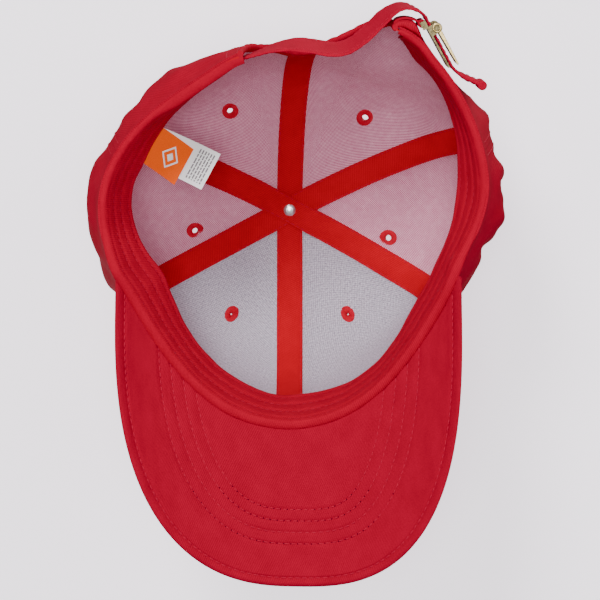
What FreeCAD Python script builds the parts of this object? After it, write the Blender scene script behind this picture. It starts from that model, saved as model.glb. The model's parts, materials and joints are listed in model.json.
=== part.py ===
import FreeCAD, Part
import math
import os

V = FreeCAD.Vector

# A six-panel cloth cap.  Dimensions are in millimetres and angles in degrees.
# Everything is drawn in the cap's own axes: the sweatband rim lies near Z = 0,
# the crown rises along +Z, the visor points along -Y and +X is the wearer's left.
# At the end the whole cap is tilted onto the surface that it stands on.
# Azimuth is 0 at the front, 90 at the wearer's left and 180 at the back.

# ---------------------------------------------------------------- crown shape
CROWN_CENTRE_Y = 2.0
APEX_HEIGHT = 103.0

# Each ring gives the height above the rim and the radius by azimuth.
RIM_RADII = [(0, 95.5), (17, 93), (30, 88.7), (43, 84.6), (57, 82.3), (70, 83.2),
             (80, 87), (98, 94), (108, 95.5), (120, 94), (135, 91), (150, 90),
             (164, 93.5), (180, 96), (195, 104), (207, 114), (216, 113.8),
             (226, 111.3), (236, 108), (247, 104.4), (256, 101), (265, 95), (277, 86),
             (290, 83), (303, 82.3), (317, 84.6), (330, 88.7), (343, 93)]
WALL_RADII = [(0, 92.5), (45, 87), (67, 92), (86, 97), (97, 100), (112, 101.5),
              (134, 98.6), (148, 96), (162, 93), (180, 91), (194, 96), (207, 110),
              (213, 113.8), (220, 110.2), (227, 110.8), (233, 112), (241, 112.5),
              (249, 111.5), (260, 107.5), (272, 100), (282, 95), (293, 92), (315, 88)]
SHOULDER_RADII = [(0, 87.5), (45, 82), (67, 86), (90, 93), (112, 94), (135, 92),
                  (160, 88), (180, 85), (200, 88), (215, 94), (233, 99), (249, 97),
                  (265, 94), (282, 89), (300, 85), (320, 84)]
UPPER_RADII = [(0, 77), (45, 76), (64, 76.5), (90, 76), (113, 74), (135, 76),
               (160, 76), (180, 74), (200, 77), (225, 83), (249, 84), (270, 82),
               (298, 81), (320, 78.5)]
TOP_RADII = [(0, 62), (30, 64), (78, 56), (113, 52), (150, 61), (180, 61),
             (219, 64), (250, 63), (286, 58), (330, 63)]
CAP_RADII = [(0, 41), (60, 38), (113, 33), (160, 39), (220, 41), (286, 38)]
WALL_HEIGHT = 31.0
SHOULDER_HEIGHT = 60.0
UPPER_HEIGHT = 78.5
TOP_HEIGHTS = [(0, 90.5), (78, 90), (113, 87.5), (150, 89.5), (219, 90.5), (286, 91)]
CAP_HEIGHTS = [(0, 98.5), (113, 96.5), (220, 98.5)]

# The rim follows the visor down at the temples and levels out behind them.
TEMPLE_AZIMUTH = 80.0
LEVEL_AZIMUTH = 128.0
FRONT_FLAT_AZIMUTH = 12.0

# Seams: azimuth at the apex and at the rim.
SEAMS = [(0.0, 0.0), (62.0, 65.0), (118.0, 117.0),
         (180.0, 186.0), (242.0, 246.0), (298.0, 298.0)]
PANEL_NAMES = ["front_left", "side_left", "back_left",
               "back_right", "side_right", "front_right"]

# ---------------------------------------------------------------- cloth layers
PANEL_T = 0.9
BACKING_T = 0.4
TAPE_T = 0.6
LAYER_GAP = 0.15
SEAM_GAP = 0.3
TOP_HOLE_R = 3.0
TAPE_WIDTH = 14.0
TAPE_RIM_MARGIN = 4.0
TAPE_STACK_FLAT = 13.0
TAPE_STACK_FADE = 24.0
CREASE_DEPTH = 0.55
CREASE_WIDTH = 5.0
CREASE_START = 12.0
PANEL_PUFF = 1.2
PUFF_START = 40.0
PUFF_MIN_WIDTH = 6.0
RIM_HOLD = 25.0
APEX_JOIN = 10.0

# ---------------------------------------------------------------- surface grids
MERIDIAN_STEPS = 16
NORMAL_MIN_RHO = 1.5
NORMAL_STEP = 0.8
NORMAL_MAX_TURN = 3.0
NORMAL_TURN_LENGTH = 60.0
SEARCH_STEPS = 40
SEARCH_RHO = 90.0
PANEL_COLUMNS = 13
PANEL_ROWS = 22
TAPE_ROWS = 41
TAPE_COLUMNS = 7
BAND_COLUMNS = 72
BAND_ROWS = 5
VISOR_COLUMNS = 61
VISOR_ROWS = [0, 0.12, 0.26, 0.4, 0.54, 0.68, 0.8, 0.9, 0.955, 0.98, 1.0]
STRAP_COLUMNS = (12, 40, 24)
STRAP_ROWS = 4
TAB_COLUMNS = 16
LABEL_COLUMNS = 7
LABEL_ROWS = 9
DOME_STEPS = 12

# ---------------------------------------------------------------- sweatband
BAND_T = 1.3
BAND_FACE_HEIGHT = 30.0
BAND_START = 165.5
BAND_END = -150.5
BAND_CLEARANCE = 0.5
BAND_LIFT = 0.6
BAND_BULGE = 0.35
ROOT_ROOM = 2.2
ROOT_ROOM_AZIMUTH = 131.0
ROOT_ROOM_FADE = 10.0
BAND_TOP_RADII = [(6, 86.0), (14, 83.5), (22, 80.7), (32, 77), (50, 70.5), (62, 67.5),
                  (72, 67), (82, 72), (95, 78.3), (105, 81), (114, 80), (129, 81),
                  (150, 83), (166, 88), (186, 91), (208, 102.0), (216, 105.0),
                  (223, 104.5), (231, 101), (240, 96.2), (250, 90), (260, 85), (270, 80.6),
                  (280, 76.5), (291, 74.4), (302, 74), (315, 77.3), (328, 82), (340, 84.8),
                  (356, 86.0)]

# ---------------------------------------------------------------- rear opening
ARCH_AZIMUTH = 186.0
ARCH_HALF_ANGLE = 20.5
ARCH_HEIGHT = 38.0
ARCH_POWER = 2.4
ARCH_REACH = 98.0
ARCH_CUT_RADII = (55.0, 150.0)
ARCH_CUT_DROP = 20.0
ARCH_CUT_STEPS = 24
BINDING_START = 0.1
BINDING_WIDTH = 9.0
BINDING_T = 0.6
BINDING_STEPS = 36
BINDING_ROWS = 4
ARCH_TAPE_GAP = 1.0

# ---------------------------------------------------------------- visor
VISOR_RADIUS = 114.0
VISOR_SLOPE = 20.0
VISOR_HALF_WIDTH = 84.5
VISOR_TIP_Y = -163.0
VISOR_SIDE_Y = -33.0
VISOR_HORN_Y = -16.0
VISOR_POWER = 2.55
VISOR_STRAIGHT = 0.16
VISOR_EDGE_START = 0.955
VISOR_EDGE_ROUND = 0.9
VISOR_ROOT_AZIMUTH = 80.0
VISOR_ROOT_INSET = 3.2
VISOR_DROP = 0.9
VISOR_COVER_T = 0.8
VISOR_BOARD_T = 1.7
VISOR_BOARD_INSET = 3.0

# ---------------------------------------------------------------- top button
BUTTON_R = 7.0
BUTTON_HEIGHT = 4.6
RIVET_SHANK_R = 1.2
RIVET_CAP_R = 3.2
RIVET_CAP_HEIGHT = 1.5
RIVET_CAP_EDGE = 0.5
RIVET_CAP_STEPS = 8
RIVET_HOLE_LENGTH = 40.0
FIT_GAP = 0.04

# ---------------------------------------------------------------- eyelets
EYELET_FLANGE_R = 4.3
EYELET_TUBE_R = 2.1
EYELET_BORE_R = 1.3
EYELET_FLANGE_T = 0.6
EYELET_LIFT = 0.3
EYELET_EDGE = 0.3
EYELET_EDGE_RISE = 0.15
EYELET_CUT_LENGTH = 12.0
EYELET_PLACES = [("front_left", 29.4, 63.5), ("side_left", 78.4, 51.5),
                 ("back_left", 150.0, 61.5), ("back_right", 218.5, 64.0),
                 ("side_right", 285.0, 55.0), ("front_right", 330.6, 63.5)]

# ---------------------------------------------------------------- rear strap
STRAP_T = 1.4
STRAP_WIDTH = 19.6
STRAP_Z = 13.6
STRAP_LEAN = -5.0
STRAP_PATH = [(46.8, 75.1), (40.2, 79.3), (33.2, 84.0), (25.6, 88.0), (17.5, 90.6),
              (8.0, 93.8), (-2.0, 95.6), (-13.5, 94.6), (-25.0, 93.5), (-35.0, 98.4),
              (-43.0, 105.8), (-50.0, 112.0), (-56.5, 114.4), (-61.8, 113.0)]
STRAP_ROOT_END = (21.5, 89.3)
STRAP_JOIN_GAP = 0.05
STRAP_LEAN_RISE = 3.0
STRAP_LEAN_FALL = 4.0

# ---------------------------------------------------------------- buckle
# s runs along the strap from the pin, n points away from the crown.
BUCKLE_ANGLE = 241.0
BUCKLE_ORIGIN = (-73.0, 104.9)
PIN_N = -1.1
PIN_R = 0.7
PIN_HEAD_R = 1.3
PIN_HEAD_T = 0.7
BARREL_R = 1.5
LEVER_T = 0.9
LEVER_LENGTH = 20.8
LEVER_LIP = 1.1
LEVER_HALF_WIDTH = 10.1
STRAP_N = -3.6
STRAP_STOPS = [-8.0, -3.0, 3.0, 10.0, 17.0]
TAIL_STOPS = [(21.5, -3.4), (25.0, -2.2), (29.0, 0.2), (32.5, 2.9), (35.5, 5.0)]
TAIL_ROLL_R = 1.9
BASE_OUTER_N = -4.6
BASE_T = 0.9
BASE_HALF_WIDTH = 11.7
BASE_REAR = -2.5
BASE_FRONT = 19.8
EAR_INNER = 10.6
EAR_R = 2.5
BAR_S = -5.2
BAR_N = -6.6
BAR_R = 0.9
BAR_SET_IN = 0.4
ARM_OVERLAP = 0.5
TAB_T = 1.1
TAB_HALF_WIDTH = 9.0
TAB_PATH = [(-51.4, 106.4), (-52.3, 107.7), (-54.6, 108.7), (-57.8, 108.9),
            (-61.2, 108.1)]

# ---------------------------------------------------------------- labels
LABEL_AZIMUTHS = (129.0, 114.5)
LABEL_LIFT = 0.45
BRAND_LABEL_LENGTH = 19.5
CARE_LABEL_LENGTH = 29.0
BRAND_LABEL_T = 0.6
CARE_LABEL_T = 0.35
LABEL_GAP = 0.35
LABEL_TUCK = 1.0
LABEL_RISE = 3.0
LABEL_BOW_LENGTH = 34.0
BRAND_LABEL_TURN = -4.0
CARE_LABEL_TURN = 4.0

# ---------------------------------------------------------------- standing pose
STAND_TILT = -10.4
STAND_TOLERANCE = 0.05


def turn(value):
    return math.radians(value)


def hermite(p0, p1, m0, m1, span, t):
    """Cubic through two values with end slopes, at t from 0 to 1."""
    a = (2 * t ** 3 - 3 * t ** 2 + 1) * p0
    b = (t ** 3 - 2 * t ** 2 + t) * m0 * span
    c = (-2 * t ** 3 + 3 * t ** 2) * p1
    d = (t ** 3 - t ** 2) * m1 * span
    return a + b + c + d


def around(stations, azimuth):
    """Smooth closed curve through (azimuth, value) stations."""
    azimuth = azimuth % 360.0
    count = len(stations)
    wrapped = []
    for lap in (-360.0, 0.0, 360.0):
        wrapped += [(a + lap, v) for a, v in stations]
    k = count
    while wrapped[k][0] > azimuth:
        k -= 1
    while wrapped[k + 1][0] <= azimuth:
        k += 1
    slopes = []
    for j in (k, k + 1):
        rise = wrapped[j + 1][1] - wrapped[j - 1][1]
        slopes.append(rise / (wrapped[j + 1][0] - wrapped[j - 1][0]))
    a0, v0 = wrapped[k]
    a1, v1 = wrapped[k + 1]
    span = a1 - a0
    return hermite(v0, v1, slopes[0], slopes[1], span, (azimuth - a0) / span)


def smooth_step(x):
    x = max(0.0, min(1.0, x))
    return x * x * (3.0 - 2.0 * x)


def visor_height(x, y):
    """Top surface of the visor: an arch about the front-back line, sloping down."""
    arch = math.sqrt(VISOR_RADIUS ** 2 - x * x) - VISOR_RADIUS
    return arch + math.tan(turn(VISOR_SLOPE)) * (y + RIM_RADII[0][1] - CROWN_CENTRE_Y)


def plan_point(azimuth, radius):
    x = radius * math.sin(turn(azimuth))
    y = CROWN_CENTRE_Y - radius * math.cos(turn(azimuth))
    return x, y


def rim_height(azimuth):
    """Height of the crown's lower edge."""
    side = abs((azimuth + 180.0) % 360.0 - 180.0)
    held = min(side, TEMPLE_AZIMUTH)
    sign = 1.0 if azimuth % 360.0 < 180.0 else -1.0
    x, y = plan_point(held * sign, around(RIM_RADII, held * sign))
    height = visor_height(x, y) * smooth_step(side / FRONT_FLAT_AZIMUTH)
    fade = 1.0 - smooth_step((side - TEMPLE_AZIMUTH) / (LEVEL_AZIMUTH - TEMPLE_AZIMUTH))
    return height * fade


MERIDIANS = {}


def meridian(azimuth):
    """Apex-to-rim profile at one azimuth, with its arc length."""
    key = round(azimuth % 360.0, 6)
    if key in MERIDIANS:
        return MERIDIANS[key]
    knots = [(0.0, APEX_HEIGHT),
             (around(CAP_RADII, key), around(CAP_HEIGHTS, key)),
             (around(TOP_RADII, key), around(TOP_HEIGHTS, key)),
             (around(UPPER_RADII, key), UPPER_HEIGHT),
             (around(SHOULDER_RADII, key), SHOULDER_HEIGHT),
             (around(WALL_RADII, key), WALL_HEIGHT),
             (around(RIM_RADII, key), rim_height(key))]
    ghost = (-knots[1][0], knots[1][1])
    last = knots[-1]
    tail = (2 * last[0] - knots[-2][0], 2 * last[1] - knots[-2][1])
    line = [ghost] + knots + [tail]
    stops = [0.0]
    for p, q in zip(line, line[1:]):
        stops.append(stops[-1] + math.hypot(q[0] - p[0], q[1] - p[1]))
    slopes = [None]
    for k in range(1, len(line) - 1):
        width = stops[k + 1] - stops[k - 1]
        slopes.append(tuple((line[k + 1][c] - line[k - 1][c]) / width for c in (0, 1)))
    table = [(0.0, 1, 0.0)]
    previous = line[1]
    length = 0.0
    for k in range(1, len(line) - 2):
        span = stops[k + 1] - stops[k]
        for step in range(1, MERIDIAN_STEPS + 1):
            t = step / MERIDIAN_STEPS
            here = tuple(hermite(line[k][c], line[k + 1][c], slopes[k][c],
                                 slopes[k + 1][c], span, t) for c in (0, 1))
            length += math.hypot(here[0] - previous[0], here[1] - previous[1])
            table.append((length, k, t))
            previous = here
    MERIDIANS[key] = (line, stops, slopes, table)
    return MERIDIANS[key]


def profile(azimuth, rho):
    """Radius and height at arc length rho from the apex."""
    line, stops, slopes, table = meridian(azimuth)
    rho = max(0.0, rho)
    low = 0
    high = len(table) - 1
    if rho >= table[high][0]:
        extra = rho - table[high][0]
        p, q = line[-3], line[-2]
        reach = math.hypot(q[0] - p[0], q[1] - p[1])
        return q[0] + (q[0] - p[0]) / reach * extra, q[1] + (q[1] - p[1]) / reach * extra
    while high - low > 1:
        middle = (low + high) // 2
        if table[middle][0] <= rho:
            low = middle
        else:
            high = middle
    share = (rho - table[low][0]) / (table[high][0] - table[low][0])
    k = table[high][1]
    t_low = table[low][2] if table[low][1] == k else 0.0
    t = t_low + (table[high][2] - t_low) * share
    span = stops[k + 1] - stops[k]
    return tuple(hermite(line[k][c], line[k + 1][c], slopes[k][c],
                         slopes[k + 1][c], span, t) for c in (0, 1))


def crown_length(azimuth):
    return meridian(azimuth)[3][-1][0]


def bare_point(azimuth, rho):
    radius, height = profile(azimuth, rho)
    x, y = plan_point(azimuth, radius)
    return V(x, y, height)


def crown_normal(azimuth, rho):
    """Outward direction of the crown surface."""
    rho = max(rho, NORMAL_MIN_RHO)
    step = min(NORMAL_MAX_TURN, NORMAL_TURN_LENGTH / rho)
    across = bare_point(azimuth + step, rho) - bare_point(azimuth - step, rho)
    below = bare_point(azimuth, rho + NORMAL_STEP)
    above = bare_point(azimuth, rho - NORMAL_STEP)
    down = below - above
    return down.cross(across).normalize()


def seam_azimuth(index, share):
    top, rim = SEAMS[index % 6]
    return top + (rim - top) * share + 360.0 * (index // 6)


def seam_distance(azimuth, rho, radius):
    """Distance along the cloth to the nearest seam."""
    share = rho / crown_length(azimuth)
    azimuth = azimuth % 360.0
    best = 360.0
    for index in range(len(SEAMS) + 1):
        gap = abs(seam_azimuth(index, share) - azimuth)
        best = min(best, min(gap, 360.0 - gap))
    return turn(best) * radius


def folds(azimuth, rho):
    """Soft lie of the cloth: panels stand proud between the sunken seams."""
    radius, height = profile(azimuth, rho)
    near = seam_distance(azimuth, rho, radius)
    crease = -CREASE_DEPTH * math.exp(-(near / CREASE_WIDTH) ** 2)
    share = smooth_step(near / max(radius / 2.0, PUFF_MIN_WIDTH))
    puff = PANEL_PUFF * share * smooth_step(rho / PUFF_START)
    rim_hold = smooth_step((crown_length(azimuth) - rho) / RIM_HOLD)
    return crease * smooth_step(rho / CREASE_START) * rim_hold + puff * rim_hold


def crown_point(azimuth, rho, depth):
    """Point on the crown, depth below the outer face of the cloth."""
    lift = folds(azimuth, rho) - depth
    return bare_point(azimuth, rho) + crown_normal(azimuth, rho) * lift


def skin(grid):
    surface = Part.BSplineSurface()
    surface.interpolate(grid)
    return surface


def slab(outer_grid, inner_grid):
    """Closed solid between two surfaces with matching grids."""
    outer = skin(outer_grid)
    inner = skin(inner_grid)
    u0, u1, v0, v1 = outer.bounds()
    s0, s1, t0, t1 = inner.bounds()
    pairs = [(outer.uIso(u0), inner.uIso(s0)), (outer.uIso(u1), inner.uIso(s1)),
             (outer.vIso(v0), inner.vIso(t0)), (outer.vIso(v1), inner.vIso(t1))]
    faces = [outer.toShape(), inner.toShape()]
    for a, b in pairs:
        faces.append(Part.makeRuledSurface(a.toShape(), b.toShape()))
    shell = Part.Shell(faces)
    shell.sewShape()
    solid = Part.Solid(shell)
    if solid.Volume < 0:
        solid.reverse()
    return solid


def spread(low, high, count):
    return [low + (high - low) * k / (count - 1) for k in range(count)]


def layer_slab(azimuth_of, rho_of, us, vs, near, far):
    """Solid on the crown between two depths below its outer face."""
    grids = []
    for depth in (near, far):
        grid = []
        for u in us:
            row = []
            for v in vs:
                rho = rho_of(u, v)
                row.append(crown_point(azimuth_of(u, rho), rho, depth))
            grid.append(row)
        grids.append(grid)
    return slab(grids[0], grids[1])


def crown_piece(index, near, far):
    """One sixth of the crown, between its two seams."""
    def azimuth_at(u, rho):
        middle = (seam_azimuth(index, 1.0) + seam_azimuth(index + 1, 1.0)) / 2.0
        share = rho / crown_length(middle)
        radius = max(profile(middle, rho)[0], TOP_HOLE_R)
        gap = math.degrees(SEAM_GAP / 2.0 / radius)
        low = seam_azimuth(index, share) + gap
        high = seam_azimuth(index + 1, share) - gap
        return low + (high - low) * u

    def rho_at(u, v):
        end = seam_azimuth(index, 1.0) + (seam_azimuth(index + 1, 1.0)
                                          - seam_azimuth(index, 1.0)) * u
        return TOP_HOLE_R + (crown_length(end) - TOP_HOLE_R) * v

    columns = spread(0, 1, PANEL_COLUMNS)
    rows = spread(0, 1, PANEL_ROWS)
    return layer_slab(azimuth_at, rho_at, columns, rows, near, far)


def arch_outline(angle):
    """Edge of the rear opening as arc distance from its middle, and height."""
    power = 2.0 / ARCH_POWER
    half = turn(ARCH_HALF_ANGLE) * ARCH_REACH
    side = -1.0 if math.cos(angle) > 0 else 1.0
    x = side * half * abs(math.cos(angle)) ** power
    return x, ARCH_HEIGHT * max(math.sin(angle), 0.0) ** power


def arch_tool():
    """Solid that cuts the rear opening through the back of the crown."""
    points = []
    for angle in spread(0.0, math.pi, ARCH_CUT_STEPS + 1):
        x, height = arch_outline(angle)
        points.append((ARCH_AZIMUTH + math.degrees(x / ARCH_REACH), height))
    grids = []
    for reach in ARCH_CUT_RADII:
        row = []
        for azimuth, height in points:
            x, y = plan_point(azimuth, reach)
            row.append(V(x, y, height))
        grids.append(row)
    wires = []
    for row in grids:
        curve = Part.BSplineCurve()
        curve.interpolate(row)
        drop = V(0, 0, -ARCH_CUT_DROP)
        edges = [curve.toShape(), Part.makeLine(row[-1], row[-1] + drop),
                 Part.makeLine(row[-1] + drop, row[0] + drop),
                 Part.makeLine(row[0] + drop, row[0])]
        wires.append(Part.Wire(edges))
    return Part.makeLoft(wires, True, True)


def arch_point(angle, inset, depth):
    """Point beside the edge of the rear opening; inset runs into the cloth."""
    x, h = arch_outline(angle)
    step = 0.01
    x0, h0 = arch_outline(max(angle - step, 0.0))
    x1, h1 = arch_outline(min(angle + step, math.pi))
    size = math.hypot(x1 - x0, h1 - h0)
    x -= inset * (h1 - h0) / size
    h += inset * (x1 - x0) / size
    azimuth = ARCH_AZIMUTH + math.degrees(x / ARCH_REACH)
    length = crown_length(azimuth)
    low = length - 2.2 * ARCH_HEIGHT
    high = length
    for _ in range(SEARCH_STEPS):
        middle = (low + high) / 2.0
        if profile(azimuth, middle)[1] > h:
            low = middle
        else:
            high = middle
    return crown_point(azimuth, low, depth)


def arch_binding(near, far):
    angles = spread(0.0, math.pi, BINDING_STEPS + 1)
    insets = spread(BINDING_START, BINDING_WIDTH, BINDING_ROWS)
    grids = []
    for depth in (near, far):
        grids.append([[arch_point(a, i, depth) for i in insets] for a in angles])
    return slab(grids[0], grids[1])


def tape(first, second, level, back_stop):
    """Seam tape running over the apex from one seam to the opposite one."""
    near = PANEL_T + BACKING_T + 2 * LAYER_GAP
    half = TAPE_WIDTH / 2.0
    length_a = crown_length(SEAMS[first][1]) - TAPE_RIM_MARGIN
    length_b = crown_length(SEAMS[second][1]) - back_stop
    grids = []
    for depth in (near, near + TAPE_T):
        grid = []
        for rho in spread(-length_a, length_b, TAPE_ROWS):
            index = first if rho < 0 else second
            centre = seam_azimuth(index, abs(rho) / crown_length(SEAMS[index][1]))
            if abs(rho) < APEX_JOIN:
                kink = (SEAMS[second][0] - SEAMS[first][0]) % 360.0 - 180.0
                even = SEAMS[first][0] + kink / 2.0
                centre = even if rho < 0 else even + 180.0
            fade = 1.0 - smooth_step((abs(rho) - TAPE_STACK_FLAT)
                                     / (TAPE_STACK_FADE - TAPE_STACK_FLAT))
            lower = depth + level * (TAPE_T + LAYER_GAP) * fade
            row = []
            for w in spread(-half, half, TAPE_COLUMNS):
                side = w if rho < 0 else -w
                radius = profile(centre, abs(rho))[0]
                azimuth = centre + math.degrees(math.atan2(side, max(radius, 1e-6)))
                row.append(crown_point(azimuth, math.hypot(rho, w), lower))
            grid.append(row)
        grids.append(grid)
    return slab(grids[0], grids[1])


def lathe(profile_points, centre, axis):
    """Solid turned about an axis from (radius, height) points."""
    points = [V(r, 0, z) for r, z in profile_points]
    wire = Part.makePolygon(points + [points[0]])
    solid = Part.Face(wire).revolve(V(0, 0, 0), V(0, 0, 1), 360)
    if solid.Volume < 0:
        solid.reverse()
    solid.Placement = FreeCAD.Placement(centre, FreeCAD.Rotation(V(0, 0, 1), axis))
    return solid


def rho_for_radius(azimuth, radius):
    low = 0.0
    high = SEARCH_RHO
    for _ in range(SEARCH_STEPS):
        middle = (low + high) / 2.0
        if profile(azimuth, middle)[0] < radius:
            low = middle
        else:
            high = middle
    return low


def eyelet_site(azimuth, radius):
    rho = rho_for_radius(azimuth, radius)
    return crown_point(azimuth, rho, 0.0), crown_normal(azimuth, rho)


def eyelet(azimuth, radius):
    """Stitched air hole: a flange on each side joined by a tube."""
    centre, axis = eyelet_site(azimuth, radius)
    top = EYELET_LIFT
    bottom = -(PANEL_T + BACKING_T + LAYER_GAP) - EYELET_LIFT
    outline = [(EYELET_BORE_R, bottom - EYELET_FLANGE_T + EYELET_EDGE_RISE),
               (EYELET_BORE_R + EYELET_EDGE, bottom - EYELET_FLANGE_T),
               (EYELET_FLANGE_R - EYELET_EDGE, bottom - EYELET_FLANGE_T),
               (EYELET_FLANGE_R, bottom - EYELET_EDGE_RISE), (EYELET_FLANGE_R, bottom),
               (EYELET_TUBE_R, bottom), (EYELET_TUBE_R, top),
               (EYELET_FLANGE_R, top), (EYELET_FLANGE_R, top + EYELET_EDGE_RISE),
               (EYELET_FLANGE_R - EYELET_EDGE, top + EYELET_FLANGE_T),
               (EYELET_BORE_R + EYELET_EDGE, top + EYELET_FLANGE_T),
               (EYELET_BORE_R, top + EYELET_FLANGE_T - EYELET_EDGE_RISE)]
    return lathe(outline, centre, axis)


def eyelet_cut(azimuth, radius):
    centre, axis = eyelet_site(azimuth, radius)
    start = centre - axis * (EYELET_CUT_LENGTH / 2.0)
    return Part.makeCylinder(EYELET_TUBE_R + FIT_GAP, EYELET_CUT_LENGTH, start, axis)


def band_point(azimuth, share, depth):
    """Point on the sweatband: share 0 at the rim, 1 at the free upper edge."""
    radius = around(RIM_RADII, azimuth)
    inner = PANEL_T + BACKING_T + TAPE_T + 3 * LAYER_GAP + BAND_CLEARANCE
    foot = radius - inner - BAND_T
    foot -= ROOT_ROOM * smooth_step((azimuth - ROOT_ROOM_AZIMUTH) / ROOT_ROOM_FADE)
    top = around(BAND_TOP_RADII, azimuth)
    bend = share + BAND_BULGE * share * (1.0 - share)
    r = foot + (top - foot) * (2 * share - bend) + depth
    base = rim_height(azimuth)
    x, y = plan_point(azimuth, r)
    return V(x, y, base + BAND_LIFT + (BAND_FACE_HEIGHT - BAND_LIFT) * share)


def sweatband():
    azimuths = spread(BAND_START, BAND_END, BAND_COLUMNS)
    shares = spread(0, 1, BAND_ROWS)
    grids = []
    for depth in (BAND_T, 0.0):
        grids.append([[band_point(a, s, depth) for s in shares] for a in azimuths])
    return slab(grids[0], grids[1])


def visor_plan(u, v, inset):
    """Plan point: u from one horn to the other, v from the rim to the edge."""
    azimuth = VISOR_ROOT_AZIMUTH * u
    radius = around(RIM_RADII, azimuth) - VISOR_ROOT_INSET + inset
    x0, y0 = plan_point(azimuth, radius)
    half = VISOR_HALF_WIDTH - inset
    length = VISOR_SIDE_Y - VISOR_TIP_Y - inset
    side = 1.0 if u >= 0 else -1.0
    if abs(u) > 1.0 - VISOR_STRAIGHT:
        share = (1.0 - abs(u)) / VISOR_STRAIGHT
        x1 = half * side
        y1 = VISOR_HORN_Y + (VISOR_SIDE_Y - VISOR_HORN_Y) * share
    else:
        angle = math.pi / 2.0 * (1.0 - abs(u) / (1.0 - VISOR_STRAIGHT))
        power = 2.0 / VISOR_POWER
        x1 = half * side * max(math.cos(angle), 0.0) ** power
        y1 = VISOR_SIDE_Y - length * math.sin(angle) ** power
    return x0 + (x1 - x0) * v, y0 + (y1 - y0) * v


def visor_slab(top, bottom, inset, round_edge):
    """Layer of the visor between two distances below its top surface."""
    middle = VISOR_COVER_T + VISOR_BOARD_T / 2.0
    grids = []
    for level in (top, bottom):
        grid = []
        for u in spread(-1, 1, VISOR_COLUMNS):
            row = []
            for v in VISOR_ROWS:
                x, y = visor_plan(u, v, inset)
                near_edge = (v - VISOR_EDGE_START) / (1.0 - VISOR_EDGE_START)
                pinch = round_edge * smooth_step(near_edge)
                depth = level + (middle - level) * pinch
                row.append(V(x, y, visor_height(x, y) - VISOR_DROP - depth))
            grid.append(row)
        grids.append(grid)
    return slab(grids[0], grids[1])


def buckle_plan(s, n):
    """Plan point from the buckle's own axes."""
    c = math.cos(turn(BUCKLE_ANGLE))
    d = math.sin(turn(BUCKLE_ANGLE))
    return BUCKLE_ORIGIN[0] + s * c + n * d, BUCKLE_ORIGIN[1] + s * d - n * c


def plan_curve(path):
    curve = Part.BSplineCurve()
    curve.interpolate([V(x, y, 0) for x, y in path])
    return curve


def upright_strip(curve, start, end, half_width, thick, lean, count):
    """Band standing on edge along a plan curve; a negative lean tips its top outward."""
    grids = []
    for side in (0.5, -0.5):
        grid = []
        for t in spread(start, end, count):
            at = curve.value(t)
            along = V(*curve.tangent(t)[0])
            outward = V(-along.y, along.x, 0).normalize() * -1.0
            row = []
            for share in spread(-1, 1, STRAP_ROWS):
                shift = thick * side - lean(t) * share / 2.0
                p = at + outward * shift
                row.append(V(p.x, p.y, STRAP_Z + half_width * share))
            grid.append(row)
        grids.append(grid)
    return slab(grids[0], grids[1])


def strap_curve():
    path = list(STRAP_PATH)
    path += [buckle_plan(s, STRAP_N) for s in STRAP_STOPS]
    path += [buckle_plan(s, n) for s, n in TAIL_STOPS]
    return plan_curve(path)


def strap_pieces():
    """Sewn root, free loop and the end that runs through the buckle."""
    curve = strap_curve()
    first, last = curve.FirstParameter, curve.LastParameter
    root_end = curve.parameter(V(*STRAP_ROOT_END, 0))
    loop_end = curve.parameter(V(*buckle_plan(STRAP_STOPS[0], STRAP_N), 0))
    gap = STRAP_JOIN_GAP / 2.0 * (last - first) / curve.length()

    def lean(t):
        rise = smooth_step((t - root_end) / (loop_end - root_end) * STRAP_LEAN_RISE)
        fall = smooth_step((loop_end - t) / (loop_end - root_end) * STRAP_LEAN_FALL)
        return STRAP_LEAN * min(rise, fall)

    half = STRAP_WIDTH / 2.0
    spans = [(first, root_end - gap), (root_end + gap, loop_end - gap), (loop_end + gap, last)]
    root, loop, end = [upright_strip(curve, a, b, half, STRAP_T, lean, columns)
                       for (a, b), columns in zip(spans, STRAP_COLUMNS)]
    tip = curve.value(last)
    hem = Part.makeCylinder(TAIL_ROLL_R, STRAP_WIDTH, V(tip.x, tip.y, STRAP_Z - half))
    return root, loop, end.cut(hem), hem


def block(s0, s1, n0, n1, z0, z1):
    return Part.makeBox(s1 - s0, n1 - n0, z1 - z0, V(s0, -n1, z0))


def rod(radius, s, n, z0, z1):
    return Part.makeCylinder(radius, z1 - z0, V(s, -n, z0), V(0, 0, 1))


def at_buckle(solid):
    place = FreeCAD.Placement(V(*BUCKLE_ORIGIN, STRAP_Z),
                              FreeCAD.Rotation(V(0, 0, 1), BUCKLE_ANGLE))
    solid.Placement = place.multiply(solid.Placement)
    return solid


def both_sides(maker):
    return maker(1.0).fuse(maker(-1.0))


def span(a, b, side):
    return (a, b) if side > 0 else (-b, -a)


def buckle_base():
    """Back plate with two ears for the pin and a bar for the tab."""
    inner_n = BASE_OUTER_N - BASE_T
    plate = block(BASE_REAR, BASE_FRONT, inner_n, BASE_OUTER_N,
                  -BASE_HALF_WIDTH, BASE_HALF_WIDTH)
    hole = rod(PIN_R + FIT_GAP, 0, PIN_N, -2 * BASE_HALF_WIDTH, 2 * BASE_HALF_WIDTH)

    def cheek(side):
        low, high = span(EAR_INNER, BASE_HALF_WIDTH, side)
        web = block(-EAR_R, EAR_R, inner_n, PIN_N, low, high)
        return web.fuse(rod(EAR_R, 0, PIN_N, low, high))

    def arm(side):
        low, high = span(EAR_INNER, BASE_HALF_WIDTH, side)
        return block(BAR_S - BAR_R, BASE_REAR + ARM_OVERLAP, BAR_N - BAR_R, BASE_OUTER_N,
                     low, high)

    reach = EAR_INNER + BAR_SET_IN
    bar = rod(BAR_R, BAR_S, BAR_N, -reach, reach)
    body = plate.fuse([both_sides(cheek), both_sides(arm), bar])
    return at_buckle(body.cut(hole).removeSplitter())


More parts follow.
